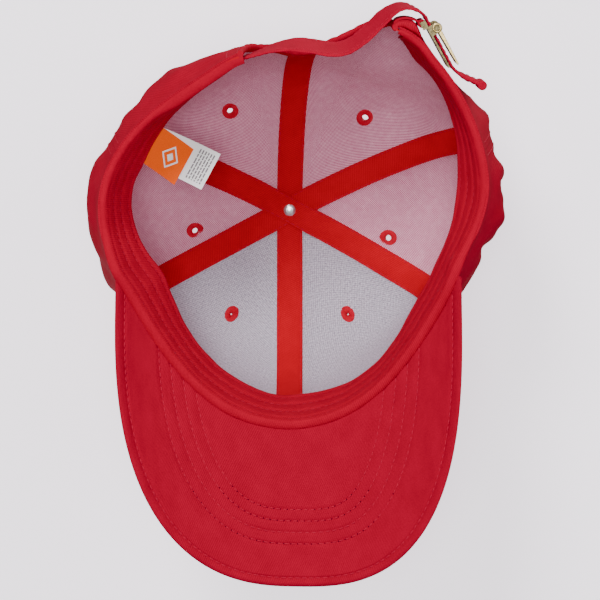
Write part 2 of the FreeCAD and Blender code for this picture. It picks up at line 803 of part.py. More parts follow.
def buckle_lever():
    """Flat lever with a barrel round the pin and a turned-up lip."""
    w = LEVER_HALF_WIDTH
    barrel = rod(BARREL_R, 0, PIN_N, -w, w)
    plate = block(0.0, LEVER_LENGTH, -LEVER_T, 0.0, -w, w)
    lip = block(LEVER_LENGTH - LEVER_T, LEVER_LENGTH, -LEVER_T, LEVER_LIP, -w, w)
    hole = rod(PIN_R + FIT_GAP, 0, PIN_N, -2 * w, 2 * w)
    body = barrel.fuse([plate, lip]).cut(hole).removeSplitter()
    return at_buckle(body)


def buckle_pin():
    end = BASE_HALF_WIDTH + LAYER_GAP
    pin = rod(PIN_R, 0, PIN_N, -end - PIN_HEAD_T, end + PIN_HEAD_T)

    def head(side):
        low, high = span(end, end + PIN_HEAD_T, side)
        return rod(PIN_HEAD_R, 0, PIN_N, low, high)

    return at_buckle(pin.fuse(both_sides(head)).removeSplitter())


def buckle_tab():
    """Cloth tab from the crown's rear corner, sewn round the buckle's bar."""
    x, y = buckle_plan(BAR_S, BAR_N)
    bore = BAR_R + FIT_GAP
    low = STRAP_Z - TAB_HALF_WIDTH
    sleeve = Part.makeCylinder(bore + TAB_T, 2 * TAB_HALF_WIDTH, V(x, y, low))
    inner = Part.makeCylinder(bore, 4 * TAB_HALF_WIDTH, V(x, y, low - TAB_HALF_WIDTH))
    reach = bore + TAB_T / 2.0
    last = TAB_PATH[-1]
    away = V(last[0] - x, last[1] - y, 0).normalize()
    curve = plan_curve(TAB_PATH + [(x + away.x * reach, y + away.y * reach)])
    strip = upright_strip(curve, curve.FirstParameter, curve.LastParameter,
                          TAB_HALF_WIDTH, TAB_T, lambda t: 0.0, TAB_COLUMNS)
    return strip.fuse(sleeve).cut(inner).removeSplitter()


def label(length, thick, lift, plan_turn):
    """Woven flap hanging from the sweatband's upper edge into the cap."""
    start = band_point(LABEL_AZIMUTHS[0], 1.0, 0.0)
    edge = band_point(LABEL_AZIMUTHS[1], 1.0, 0.0) - start
    inward = V(edge.y, -edge.x, 0).normalize()
    inward = FreeCAD.Rotation(V(0, 0, 1), plan_turn).multVec(inward)
    start = start + V(0, 0, LABEL_LIFT + lift) - inward * LABEL_TUCK
    grids = []
    for level in (0.0, thick):
        grid = []
        for u in spread(0, 1, LABEL_COLUMNS):
            row = []
            for v in spread(0, 1, LABEL_ROWS):
                along = length * v
                bow = LABEL_RISE * math.sin(math.pi * along / LABEL_BOW_LENGTH)
                row.append(start + edge * u + inward * along + V(0, 0, level + bow))
            grid.append(row)
        grids.append(grid)
    return slab(grids[1], grids[0])


def top_button():
    """Cloth-covered dome on the crown, bored for the rivet."""
    base = APEX_HEIGHT + LAYER_GAP
    outline = []
    for angle in spread(0.0, math.pi / 2.0, DOME_STEPS + 1):
        outline.append((BUTTON_R * math.cos(angle), BUTTON_HEIGHT * math.sin(angle)))
    outline[-1] = (0.0, BUTTON_HEIGHT)
    outline.append((0.0, BUTTON_HEIGHT / 2.0))
    outline.append((RIVET_SHANK_R + FIT_GAP, BUTTON_HEIGHT / 2.0))
    outline.append((RIVET_SHANK_R + FIT_GAP, 0.0))
    return lathe(outline, V(0, CROWN_CENTRE_Y, base), V(0, 0, 1))


def button_rivet():
    """Metal cap under the tapes, on a shank that reaches into the button."""
    depth = PANEL_T + BACKING_T + 3 * TAPE_T + 5 * LAYER_GAP + LAYER_GAP
    top = APEX_HEIGHT + BUTTON_HEIGHT / 2.0
    under = APEX_HEIGHT - depth
    outline = [(0.0, top), (RIVET_SHANK_R, top), (RIVET_SHANK_R, under),
               (RIVET_CAP_R, under), (RIVET_CAP_R, under - RIVET_CAP_EDGE)]
    for angle in spread(0.0, math.pi / 2.0, RIVET_CAP_STEPS + 1)[1:]:
        drop = RIVET_CAP_EDGE + (RIVET_CAP_HEIGHT - RIVET_CAP_EDGE) * math.sin(angle)
        outline.append((RIVET_CAP_R * math.cos(angle), under - drop))
    outline[-1] = (0.0, under - RIVET_CAP_HEIGHT)
    return lathe(outline, V(0, CROWN_CENTRE_Y, 0), V(0, 0, 1))


def build():
    nodes = {}
    opening = arch_tool()
    backing_near = PANEL_T + LAYER_GAP
    for index, name in enumerate(PANEL_NAMES):
        panel = crown_piece(index, 0.0, PANEL_T)
        backing = crown_piece(index, backing_near, backing_near + BACKING_T)
        for eyelet_name, azimuth, radius in EYELET_PLACES:
            if eyelet_name == name:
                cut = eyelet_cut(azimuth, radius)
                nodes["eyelet_" + name] = eyelet(azimuth, radius)
                panel = panel.cut(cut)
                backing = backing.cut(cut)
        if name.startswith("back"):
            panel = panel.cut(opening)
            backing = backing.cut(opening)
        nodes["panel_" + name] = panel
        nodes["backing_" + name] = backing

    hole_foot = V(0, CROWN_CENTRE_Y, APEX_HEIGHT - RIVET_HOLE_LENGTH / 2.0)
    shank = Part.makeCylinder(RIVET_SHANK_R + FIT_GAP, RIVET_HOLE_LENGTH, hole_foot)
    arch_stop = ARCH_HEIGHT + BINDING_WIDTH + ARCH_TAPE_GAP
    nodes["tape_front_to_back"] = tape(0, 3, 0, arch_stop).cut(shank)
    nodes["tape_left_front_to_right_back"] = tape(1, 4, 1, TAPE_RIM_MARGIN).cut(shank)
    nodes["tape_right_front_to_left_back"] = tape(5, 2, 2, TAPE_RIM_MARGIN).cut(shank)

    inner = PANEL_T + BACKING_T + 2 * LAYER_GAP
    nodes["rear_arch_binding"] = arch_binding(inner, inner + BINDING_T)
    nodes["sweatband"] = sweatband()

    board_top = VISOR_COVER_T + LAYER_GAP
    board_end = board_top + VISOR_BOARD_T
    under_top = board_end + LAYER_GAP
    under_end = under_top + VISOR_COVER_T
    nodes["visor_top_cover"] = visor_slab(0.0, VISOR_COVER_T, 0.0, VISOR_EDGE_ROUND)
    nodes["visor_board"] = visor_slab(board_top, board_end, VISOR_BOARD_INSET, 0.0)
    nodes["visor_under_cover"] = visor_slab(under_top, under_end, 0.0, VISOR_EDGE_ROUND)

    nodes["top_button"] = top_button()
    nodes["button_rivet"] = button_rivet()

    root, loop, end, hem = strap_pieces()
    nodes["strap_root"] = root
    nodes["strap_loop"] = loop
    nodes["strap_end"] = end
    nodes["strap_hem"] = hem
    nodes["buckle_base"] = buckle_base()
    nodes["buckle_lever"] = buckle_lever()
    nodes["buckle_pin"] = buckle_pin()
    nodes["buckle_tab"] = buckle_tab()

    care_lift = BRAND_LABEL_T + LABEL_GAP
    nodes["brand_label"] = label(BRAND_LABEL_LENGTH, BRAND_LABEL_T, 0.0, BRAND_LABEL_TURN)
    nodes["care_label"] = label(CARE_LABEL_LENGTH, CARE_LABEL_T, care_lift, CARE_LABEL_TURN)
    return nodes


def stand(nodes):
    """Tilt the cap onto its visor corners and rear rim, over the origin."""
    for shape in nodes.values():
        shape.rotate(V(0, 0, 0), V(1, 0, 0), STAND_TILT)
    low = [math.inf] * 3
    high = [-math.inf] * 3
    for shape in nodes.values():
        for point in shape.tessellate(STAND_TOLERANCE)[0]:
            for k in range(3):
                low[k] = min(low[k], point[k])
                high[k] = max(high[k], point[k])
    shift = V(-(low[0] + high[0]) / 2.0, -(low[1] + high[1]) / 2.0, -low[2])
    for shape in nodes.values():
        shape.translate(shift)
    print("overall", [round(high[k] - low[k], 2) for k in range(3)])
    print("shift", [round(c, 3) for c in shift])


def main():
    nodes = build()
    stand(nodes)
    os.makedirs("parts", exist_ok=True)
    for name, shape in nodes.items():
        sound = shape.isValid() and len(shape.Solids) >= 1
        print(name, "ok" if sound else "BAD", len(shape.Solids), round(shape.Volume, 1))
        shape.exportStep("parts/" + name + ".step")


main()
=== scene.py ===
import json
import math

import bmesh
import bpy
import numpy as np
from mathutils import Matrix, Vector


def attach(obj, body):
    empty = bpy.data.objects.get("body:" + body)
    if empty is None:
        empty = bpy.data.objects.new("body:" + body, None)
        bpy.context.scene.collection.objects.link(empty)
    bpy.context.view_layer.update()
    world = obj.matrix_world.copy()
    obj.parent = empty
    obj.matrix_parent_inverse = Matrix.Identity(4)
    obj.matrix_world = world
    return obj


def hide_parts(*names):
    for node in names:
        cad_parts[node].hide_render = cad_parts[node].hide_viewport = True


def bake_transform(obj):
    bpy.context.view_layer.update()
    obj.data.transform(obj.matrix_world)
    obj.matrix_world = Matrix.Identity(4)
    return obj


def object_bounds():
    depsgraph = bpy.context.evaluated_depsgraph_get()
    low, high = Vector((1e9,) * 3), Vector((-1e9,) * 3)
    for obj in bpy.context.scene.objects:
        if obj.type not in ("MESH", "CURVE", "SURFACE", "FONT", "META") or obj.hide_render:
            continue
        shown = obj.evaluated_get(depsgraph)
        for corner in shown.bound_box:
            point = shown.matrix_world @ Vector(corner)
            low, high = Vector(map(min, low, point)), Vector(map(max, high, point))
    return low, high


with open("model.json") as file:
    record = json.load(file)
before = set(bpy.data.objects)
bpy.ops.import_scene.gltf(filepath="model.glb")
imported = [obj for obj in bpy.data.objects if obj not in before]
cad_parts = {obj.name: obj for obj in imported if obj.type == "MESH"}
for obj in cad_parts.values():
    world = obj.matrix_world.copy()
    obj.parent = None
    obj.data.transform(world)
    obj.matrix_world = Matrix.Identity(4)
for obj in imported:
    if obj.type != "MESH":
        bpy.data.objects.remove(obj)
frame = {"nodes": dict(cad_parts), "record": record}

START_BOUNDS = [list(c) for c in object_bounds()]
RNG = np.random.default_rng(11)

# ------------------------------------------------------------------ cap's own axes
# Shapes are worked out in millimetres in the cap's own axes, where the rim lies
# near z = 0 and +x is the wearer's left, and then put in the row frame in metres.
TILT = math.radians(-10.4)
CENTRE_Y = 2.0
C, S = math.cos(TILT), math.sin(TILT)
MOUNTS = {m["name"]: m for m in frame["record"]["mounts"]}
RIM_AT = np.array(MOUNTS["head_opening"]["pos_m"]) * 1000.0
SHIFT = RIM_AT - np.array([0.0, CENTRE_Y * C, CENTRE_Y * S])


def row(points):
    """Millimetres in the cap's axes to metres in the row frame."""
    p = np.asarray(points, float)
    out = np.empty_like(p)
    out[..., 0] = p[..., 0]
    out[..., 1] = p[..., 1] * C - p[..., 2] * S
    out[..., 2] = p[..., 1] * S + p[..., 2] * C
    return (out + SHIFT) / 1000.0


def row_vector(v):
    x, y, z = v
    return Vector((x, y * C - z * S, y * S + z * C)).normalized()


# ------------------------------------------------------------------ crown shape
APEX_Z = 103.0
RIM = [(0, 95.5), (17, 93), (30, 88.7), (43, 84.6), (57, 82.3), (70, 83.2),
       (80, 87), (98, 94), (108, 95.5), (120, 94), (135, 91), (150, 90),
       (164, 93.5), (180, 96), (195, 104), (206, 115.5), (213, 116.4), (219, 113.6),
       (226, 111.3), (236, 108), (247, 104.4), (256, 101), (265, 95), (277, 86),
       (290, 83), (303, 82.3), (317, 84.6), (330, 88.7), (343, 93)]
WALL = [(0, 92.5), (45, 87), (67, 92), (86, 97), (97, 100), (112, 101.5),
        (134, 98.6), (148, 96), (162, 93), (180, 91), (194, 96), (206, 113.0),
        (213, 116.0), (220, 111.6), (227, 110.8), (233, 112.0), (241, 112.5),
        (249, 111.5), (260, 107.5), (272, 100), (282, 95), (293, 92), (315, 88)]
SHOULDER = [(0, 87.5), (45, 82), (67, 86), (90, 93), (112, 94), (135, 92),
            (160, 88), (180, 85), (200, 88), (215, 94), (233, 99), (249, 97),
            (265, 94), (282, 89), (300, 85), (320, 84)]
UPPER = [(0, 77), (45, 76), (64, 76.5), (90, 76), (113, 74), (135, 76),
         (160, 76), (180, 74), (200, 77), (225, 83), (249, 84), (270, 82),
         (298, 81), (320, 78.5)]
TOP = [(0, 62), (30, 64), (78, 56), (113, 52), (150, 61), (180, 61),
       (219, 64), (250, 63), (286, 58), (330, 63)]
CAP = [(0, 41), (60, 38), (113, 33), (160, 39), (220, 41), (286, 38)]
TOP_Z = [(0, 90.5), (78, 90), (113, 87.5), (150, 89.5), (219, 90.5), (286, 91)]
CAP_Z = [(0, 98.5), (113, 96.5), (220, 98.5)]
WALL_Z, SHOULDER_Z, UPPER_Z = 31.0, 60.0, 78.5
TEMPLE_AZ, LEVEL_SPAN, FRONT_FLAT_AZ = 80.0, 48.0, 12.0
SEAMS = [(0.0, 0.0), (62.0, 65.0), (118.0, 117.0),
         (180.0, 186.0), (242.0, 246.0), (298.0, 298.0)]
PANELS = ["front_left", "side_left", "back_left",
          "back_right", "side_right", "front_right"]
PANEL_T, BACKING_T, TAPE_T, GAP = 0.9, 0.4, 0.6, 0.15
TAPE_NEAR = PANEL_T + BACKING_T + 2 * GAP
TAPE_HALF, TAPE_STACK_FLAT, TAPE_STACK_FADE = 7.0, 13.0, 11.0
TOP_HOLE_R, SEAM_HALF_GAP, RIM_MARGIN = 3.0, 0.1, 4.0
# Azimuth, radius in plan and hole radius of each air hole.
EYELETS = {"front_left": (29.4, 63.5, 0.5), "side_left": (78.4, 51.5, 1.5),
           "back_left": (150.0, 61.5, 1.6), "back_right": (218.5, 64.0, 1.7),
           "side_right": (285.0, 55.0, 1.6), "front_right": (330.6, 63.5, 0.5)}


def smooth(x):
    x = np.clip(x, 0.0, 1.0)
    return x * x * (3.0 - 2.0 * x)


def floats(*values):
    """Numbers or arrays as float arrays of one shape."""
    return np.broadcast_arrays(*[np.asarray(v, float) for v in values])


def arc_of(points):
    """Distance from the start to each point of a line."""
    steps = np.linalg.norm(np.diff(points, axis=0), axis=1)
    return np.concatenate([[0], np.cumsum(steps)])


def along_line(at, arc, points):
    """Points at distances along a line whose own distances are arc."""
    return np.stack([np.interp(at, arc, points[:, k]) for k in range(points.shape[1])], -1)


def superellipse(angle, across, up):
    """Point on a rounded box of half size 1; small powers make it squarer."""
    c, d = np.cos(angle), np.sin(angle)
    return np.sign(c) * np.abs(c) ** across, np.sign(d) * np.abs(d) ** up


def hermite(p0, p1, m0, m1, span, t):
    return ((2 * t ** 3 - 3 * t ** 2 + 1) * p0 + (t ** 3 - 2 * t ** 2 + t) * m0 * span
            + (3 * t ** 2 - 2 * t ** 3) * p1 + (t ** 3 - t ** 2) * m1 * span)


def ring(stations):
    """Closed smooth curve through (azimuth, value) stations, as a fine table."""
    a = np.array([s[0] for s in stations], float)
    v = np.array([s[1] for s in stations], float)
    a = np.concatenate([a - 360, a, a + 360])
    v = np.concatenate([v, v, v])
    m = np.gradient(v, a)
    m[1:-1] = (v[2:] - v[:-2]) / (a[2:] - a[:-2])
    k = np.searchsorted(a, TABLE_AT, side="right") - 1
    span = a[k + 1] - a[k]
    return hermite(v[k], v[k + 1], m[k], m[k + 1], span, (TABLE_AT - a[k]) / span)


TABLE_AT = np.linspace(0, 360, 1441)
RINGS = {name: ring(s) for name, s in [
    ("rim", RIM), ("wall", WALL), ("shoulder", SHOULDER), ("upper", UPPER),
    ("top", TOP), ("cap", CAP), ("top_z", TOP_Z), ("cap_z", CAP_Z)]}


def look(name, azimuth):
    return np.interp(np.mod(azimuth, 360.0), TABLE_AT, RINGS[name])


VISOR_R, VISOR_TAN, FRONT_Y = 114.0, math.tan(math.radians(20.0)), -93.5


def visor_z(x, y):
    return np.sqrt(VISOR_R ** 2 - x * x) - VISOR_R + VISOR_TAN * (y - FRONT_Y)


def plan(azimuth, radius):
    a = np.radians(azimuth)
    return radius * np.sin(a), CENTRE_Y - radius * np.cos(a)


def rim_z(azimuth):
    azimuth = np.asarray(azimuth, float)
    turned = np.mod(azimuth + 180.0, 360.0) - 180.0
    side = np.abs(turned)
    held = np.minimum(side, TEMPLE_AZ) * np.where(turned < 0, -1.0, 1.0)
    x, y = plan(held, look("rim", held))
    fade = 1.0 - smooth((side - TEMPLE_AZ) / LEVEL_SPAN)
    return visor_z(x, y) * smooth(side / FRONT_FLAT_AZ) * fade


def crown_table():
    """Radius and height by azimuth and by arc length from the apex."""
    azimuths = np.arange(0, 361, 1.0)
    z0 = np.zeros_like(azimuths)
    levels = ("cap", "top", "upper", "shoulder", "wall", "rim")
    r = np.stack([z0] + [look(level, azimuths) for level in levels], 1)
    z = np.stack([z0 + APEX_Z, look("cap_z", azimuths), look("top_z", azimuths),
                  z0 + UPPER_Z, z0 + SHOULDER_Z, z0 + WALL_Z, rim_z(azimuths)], 1)
    r = np.concatenate([-r[:, 1:2], r, 2 * r[:, -1:] - r[:, -2:-1]], 1)
    z = np.concatenate([z[:, 1:2], z, 2 * z[:, -1:] - z[:, -2:-1]], 1)
    stops = np.concatenate([z0[:, None], np.cumsum(np.hypot(np.diff(r), np.diff(z)), 1)], 1)
    lengths, radii, heights = [], [], []
    rho = np.arange(0, 200, 1.0)
    for i in range(len(azimuths)):
        line = np.stack([r[i], z[i]], 1)
        stop = stops[i]
        slope = (line[2:] - line[:-2]) / (stop[2:] - stop[:-2])[:, None]
        points = []
        for k in range(1, 7):
            t = np.linspace(0, 1, 16, endpoint=False)[:, None]
            points.append(hermite(line[k], line[k + 1], slope[k - 1], slope[k],
                                  stop[k + 1] - stop[k], t))
        points.append(line[7:8])
        points = np.concatenate(points)
        arc = arc_of(points)
        lengths.append(arc[-1])
        over = np.maximum(rho - arc[-1], 0)[:, None]
        end = (points[-1] - points[-4]) / np.linalg.norm(points[-1] - points[-4])
        got = along_line(rho, arc, points) + over * end
        radii.append(got[:, 0])
        heights.append(got[:, 1])
    return np.array(lengths), np.array(radii), np.array(heights)


LENGTHS, R_TABLE, Z_TABLE = crown_table()


def crown_length(azimuth):
    return np.interp(np.mod(azimuth, 360.0), np.arange(0, 361), LENGTHS)


def sample(table, azimuth, rho):
    a = np.mod(azimuth, 360.0)
    i = np.clip(a.astype(int), 0, 359)
    fa = a - i
    p = np.clip(rho, 0, 198.0)
    j = p.astype(int)
    fp = p - j
    low = table[i, j] * (1 - fp) + table[i, j + 1] * fp
    high = table[i + 1, j] * (1 - fp) + table[i + 1, j + 1] * fp
    return low * (1 - fa) + high * fa


def bare(azimuth, rho):
    """Crown surface without its seams and folds."""
    azimuth, rho = floats(azimuth, rho)
    x, y = plan(azimuth, sample(R_TABLE, azimuth, rho))
    return np.stack([x, y, sample(Z_TABLE, azimuth, rho)], -1)


def normals(azimuth, rho):
    azimuth, rho = floats(azimuth, rho)
    p = np.maximum(rho, 2.0)
    step = np.clip(90.0 / p, 1.0, 4.0)
    across = bare(azimuth + step, p) - bare(azimuth - step, p)
    down = bare(azimuth, p + 1.5) - bare(azimuth, p - 1.5)
    n = np.cross(down, across)
    return n / np.linalg.norm(n, axis=-1, keepdims=True)


def seam_at(index, share):
    """Azimuth of a seam, share of the way from the apex to the rim."""
    top, rim = SEAMS[index % 6]
    return top + (rim - top) * share + 360.0 * (index // 6)


WAVES = [(RNG.normal(0, 1, 3), RNG.uniform(0, 6.28)) for _ in range(14)]


def ripple(p, wavelength):
    """Smooth seeded unevenness of the cloth, about -1 to 1."""
    total = np.zeros(p.shape[:-1])
    for k, (direction, phase) in enumerate(WAVES):
        d = direction / np.linalg.norm(direction)
        spread = 0.7 + 0.06 * k
        total += np.sin(p @ d * (6.283 / (wavelength * spread)) + phase)
    return total / 5.0


def fold_ridge(azimuth, height, centre, width, low, high, lean=0.0):
    """One soft crease that runs up the wall."""
    middle = (low + high) / 2.0
    off = azimuth - centre - lean * (height - middle)
    window = smooth((height - low) / 14.0) * smooth((high - height) / 14.0)
    return np.exp(-(off / width) ** 2) * window


# Azimuth, width, lowest and highest point, lean and rise of each crease.
CREASES = [(252, 2.6, 12, 74, 0.10, -3.6), (260, 2.2, 10, 66, 0.16, -3.4),
           (268, 2.2, 8, 60, 0.20, 2.6), (276, 2.4, 8, 58, 0.12, -3.0),
           (240, 2.8, 14, 70, -0.05, 2.2), (229, 2.6, 16, 64, -0.10, -2.4),
           (127, 3.6, 20, 72, -0.12, -1.8), (104, 3.4, 18, 68, 0.08, -1.6),
           (142, 3.2, 24, 70, -0.08, 1.4), (86, 3.0, 14, 56, 0.05, -1.4)]


def folds(azimuth, rho, p):
    """How the cloth lies: seams sunk, panels full, and soft creases in the walls."""
    radius = sample(R_TABLE, np.mod(azimuth, 360.0), rho)
    length = crown_length(azimuth)
    share = rho / length
    a = np.mod(azimuth, 360.0)
    best = np.full(a.shape, 1000.0)
    for index in range(len(SEAMS) + 1):
        gap = np.abs(seam_at(index, share) - a)
        best = np.minimum(best, np.minimum(gap, 360.0 - gap))
    near = np.radians(best) * radius
    hold = smooth((length - rho) / 25.0)
    crease = -0.75 * np.exp(-(near / 6.0) ** 2) * smooth(rho / 12.0)
    puff = 1.2 * smooth(near / np.maximum(radius * 0.5, 6.0)) * smooth(rho / 40.0)
    puff += 1.5 * smooth((near - 5.5) / 9.0) * smooth((rho - 18.0) / 30.0)
    extra = np.zeros(a.shape)
    height = p[..., 2]
    for centre, width, low, high, lean, depth in CREASES:
        extra += depth * fold_ridge(a, height, centre, width, low, high, lean)
    front = smooth((np.abs(np.mod(a + 180, 360) - 180) - 50.0) / 30.0)
    soft = ripple(p, 46.0) * (0.25 + 0.75 * front) + 0.35 * ripple(p, 17.0) * front
    keep = smooth(near / 14.0) * 0.75 + 0.25
    extra = (extra * (0.35 + 0.65 * front) + soft * 1.15) * keep * smooth(rho / 30.0)
    # Under the buckle the cloth only folds inwards.
    buckle = smooth((a - 208.0) / 8.0) * smooth((242.0 - a) / 8.0)
    room = buckle * smooth((40.0 - height) / 10.0)
    extra = extra * (1 - room) + np.minimum(extra, 0.0) * room
    puff = puff * (1 - 0.8 * room)
    return (crease + puff + extra) * hold


def crown(azimuth, rho, depth):
    """Point on the crown, depth below the outer face of its cloth."""
    azimuth, rho = floats(azimuth, rho)
    p = bare(azimuth, rho)
    lift = folds(azimuth, rho, p) - depth
    return p + normals(azimuth, rho) * lift[..., None]


# ------------------------------------------------------------------ mesh helpers
def new_mesh(name, points, faces, uvs=None, smooth_faces=True):
    """Object from points in the cap's axes, in millimetres."""
    mesh = bpy.data.meshes.new(name)
    mesh.from_pydata(row(points).tolist(), [], [list(map(int, f)) for f in faces])
    if uvs is not None:
        layer = mesh.uv_layers.new(name="cloth")
        index = np.empty(len(mesh.loops), int)
        mesh.loops.foreach_get("vertex_index", index)
        layer.data.foreach_set("uv", np.asarray(uvs, float)[index].ravel())
    mesh.polygons.foreach_set("use_smooth", [smooth_faces] * len(mesh.polygons))
    mesh.update()
    obj = bpy.data.objects.new(name, mesh)
    bpy.context.scene.collection.objects.link(obj)
    return obj


def grid_uv(grid):
    """Cloth coordinates in millimetres on a grid of points."""
    u = np.zeros(grid.shape[:2])
    v = np.zeros(grid.shape[:2])
    u[1:] = np.cumsum(np.linalg.norm(np.diff(grid, axis=0), axis=-1), 0)
    v[:, 1:] = np.cumsum(np.linalg.norm(np.diff(grid, axis=1), axis=-1), 1)
    u -= u[len(u) // 2]
    return np.stack([u, v], -1)


def slab(name, outer, inner):
    """Closed thin body between two matching grids."""
    nu, nv = outer.shape[:2]
    base = nu * nv
    ids = np.arange(base).reshape(nu, nv)
    quads = np.stack([ids[:-1, :-1], ids[:-1, 1:], ids[1:, 1:], ids[1:, :-1]], -1)
    quads = quads.reshape(-1, 4)
    faces = [quads, quads[:, ::-1] + base]
    for edge, flip in ((ids[0, :], True), (ids[-1, :], False),
                       (ids[:, 0], False), (ids[:, -1], True)):
        a, b = edge[:-1], edge[1:]
        side = np.stack([a, b, b + base, a + base], -1)
        faces.append(side if flip else side[:, ::-1])
    points = np.concatenate([outer.reshape(-1, 3), inner.reshape(-1, 3)])
    uv = grid_uv(outer).reshape(-1, 2)
    return new_mesh(name, points, np.concatenate(faces), np.concatenate([uv, uv]))


def tube(name, grid, uv, flip=False):
    """Closed tube through rings of points, with a face over each end."""
    count, sides = grid.shape[:2]
    ids = np.arange(count * sides).reshape(count, sides)
    nxt = np.roll(ids, -1, axis=1)
    quads = np.stack([ids[:-1], nxt[:-1], nxt[1:], ids[1:]], -1)
    ends = [ids[0][::-1].tolist(), ids[-1].tolist()]
    if flip:
        quads = np.roll(quads[..., ::-1], 1, axis=-1)
        ends = [end[::-1] for end in ends]
    faces = quads.reshape(-1, 4).tolist() + ends
    return new_mesh(name, grid.reshape(-1, 3), faces, uv.reshape(-1, 2))


def crisp(obj, angle=40.0):
    """Keep real edges sharp on a smooth-shaded piece."""
    mesh = obj.data
    mesh.update()
    bm = bmesh.new()
    bm.from_mesh(mesh)
    limit = math.radians(angle)
    for e in bm.edges:
        if len(e.link_faces) == 2 and e.calc_face_angle(0.0) > limit:
            e.smooth = False
    bm.to_mesh(mesh)
    bm.free()
    return obj


# A stitch's place along its length, its thickness and its rise.
STITCH = [(-1, 0.35, -0.35), (-0.6, 0.95, 0.0), (0, 1.0, 0.15), (0.6, 0.95, 0.0),
          (1, 0.35, -0.35)]


def stitches(name, lines, length=2.3, pitch=3.0, radius=0.3, sides=6, start=0.5):
    """Rows of thread stitches along (points, normals) lines, as one mesh."""
    verts, faces = [], []
    count = 0
    for points, ups in lines:
        points = np.asarray(points, float)
        ups = np.asarray(ups, float)
        arc = arc_of(points)
        at = np.arange(pitch * start, arc[-1] - length * 0.5, pitch)
        at = at + RNG.normal(0, 0.05, len(at))
        half = length / 2.0
        mid = along_line(at, arc, points)
        up = along_line(at, arc, ups)
        along = along_line(at + half, arc, points) - along_line(at - half, arc, points)
        along /= np.linalg.norm(along, axis=1, keepdims=True)
        up -= along * np.sum(up * along, 1, keepdims=True)
        up /= np.linalg.norm(up, axis=1, keepdims=True)
        side = np.cross(along, up)
        for share, fat, lift in STITCH:
            centre = mid + along * (half * share) + up * (radius * lift)
            for k in range(sides):
                t = 2 * math.pi * k / sides
                verts.append(centre + (side * math.cos(t) + up * math.sin(t)) * radius * fat)
        n = len(at)
        block = np.arange(len(STITCH) * sides * n).reshape(-1, sides, n) + count
        for low, high in zip(block, block[1:]):
            for k in range(sides):
                m = (k + 1) % sides
                faces.append(np.stack([low[k], low[m], high[m], high[k]], -1))
        count += block.size
    return new_mesh(name, np.concatenate(verts), np.concatenate(faces))


# ------------------------------------------------------------------ materials
def material(name):
    mat = bpy.data.materials.new(name)
    mat.use_nodes = True
    return mat, mat.node_tree.nodes, mat.node_tree.links, mat.node_tree.nodes["Principled BSDF"]


def node(nodes, kind, **values):
    made = nodes.new(kind)
    for key, value in values.items():
        if hasattr(made, key):
            setattr(made, key, value)
        else:
            made.inputs[key].default_value = value
    return made


def shade_mix(nodes, links, factor, low, high):
    mix = nodes.new("ShaderNodeMix")
    mix.data_type = "RGBA"
    links.new(factor, mix.inputs["Factor"])
    mix.inputs["A"].default_value = (*low, 1)
    mix.inputs["B"].default_value = (*high, 1)
    return mix.outputs["Result"]


def multiply_add(nodes, links, value, factor, other):
    made = node(nodes, "ShaderNodeMath", operation="MULTIPLY_ADD")
    links.new(value, made.inputs[0])
    made.inputs[1].default_value = factor
    links.new(other, made.inputs[2])
    return made.outputs[0]


def texture(nodes, links, kind, vector, **values):
    made = node(nodes, kind, **values)
    links.new(vector, made.inputs["Vector"])
    return made.outputs["Fac"]


def turned_uv(nodes, links, degrees):
    """The cloth's own coordinates, straight and turned."""
    uv = node(nodes, "ShaderNodeTexCoord").outputs["UV"]
    turn = node(nodes, "ShaderNodeMapping", Rotation=(0, 0, math.radians(degrees)))
    links.new(uv, turn.inputs["Vector"])
    return uv, turn.outputs["Vector"]


def paint(nodes, links, bsdf, value, low, high, dark, light):
    """Colour that goes from dark to light as a value goes from low to high."""
    ramp = node(nodes, "ShaderNodeMapRange", **{"From Min": low, "From Max": high})
    links.new(value, ramp.inputs["Value"])
    colour = shade_mix(nodes, links, ramp.outputs["Result"], dark, light)
    links.new(colour, bsdf.inputs["Base Color"])


def emboss(nodes, links, bsdf, height, strength, distance):
    lump = node(nodes, "ShaderNodeBump", Strength=strength, Distance=distance)
    links.new(height, lump.inputs["Height"])
    links.new(lump.outputs["Normal"], bsdf.inputs["Normal"])


def set_shader(bsdf, **values):
    for key, value in values.items():
        bsdf.inputs[key.replace("_", " ")].default_value = value


# Scale of a wave texture whose bands are a millimetre apart.
BAND_SCALE = 0.314


def twill(name, dark, light, rib=0.95, bump=0.5, blotch=0.5):
    """Brushed cotton twill: fine slanting ribs and slightly uneven dye."""
    mat, nodes, links, bsdf = material(name)
    uv, slanted = turned_uv(nodes, links, 27)
    ribs = texture(nodes, links, "ShaderNodeTexWave", slanted, Scale=BAND_SCALE / rib,
                   Distortion=0.6, Detail=1.0)
    fuzz = texture(nodes, links, "ShaderNodeTexNoise", uv, Scale=1.7, Detail=3.0, Roughness=0.7)
    patch = texture(nodes, links, "ShaderNodeTexNoise", uv, Scale=0.09, Detail=3.0,
                    Roughness=0.6)
    pile = multiply_add(nodes, links, ribs, 0.35, fuzz)
    dye = multiply_add(nodes, links, patch, blotch, pile)
    paint(nodes, links, bsdf, dye, 0.45, 1.2, dark, light)
    emboss(nodes, links, bsdf, pile, bump, 0.00025)
    set_shader(bsdf, Roughness=0.92, Specular_IOR_Level=0.08, Sheen_Weight=0.0,
               Sheen_Roughness=0.45)
    return mat


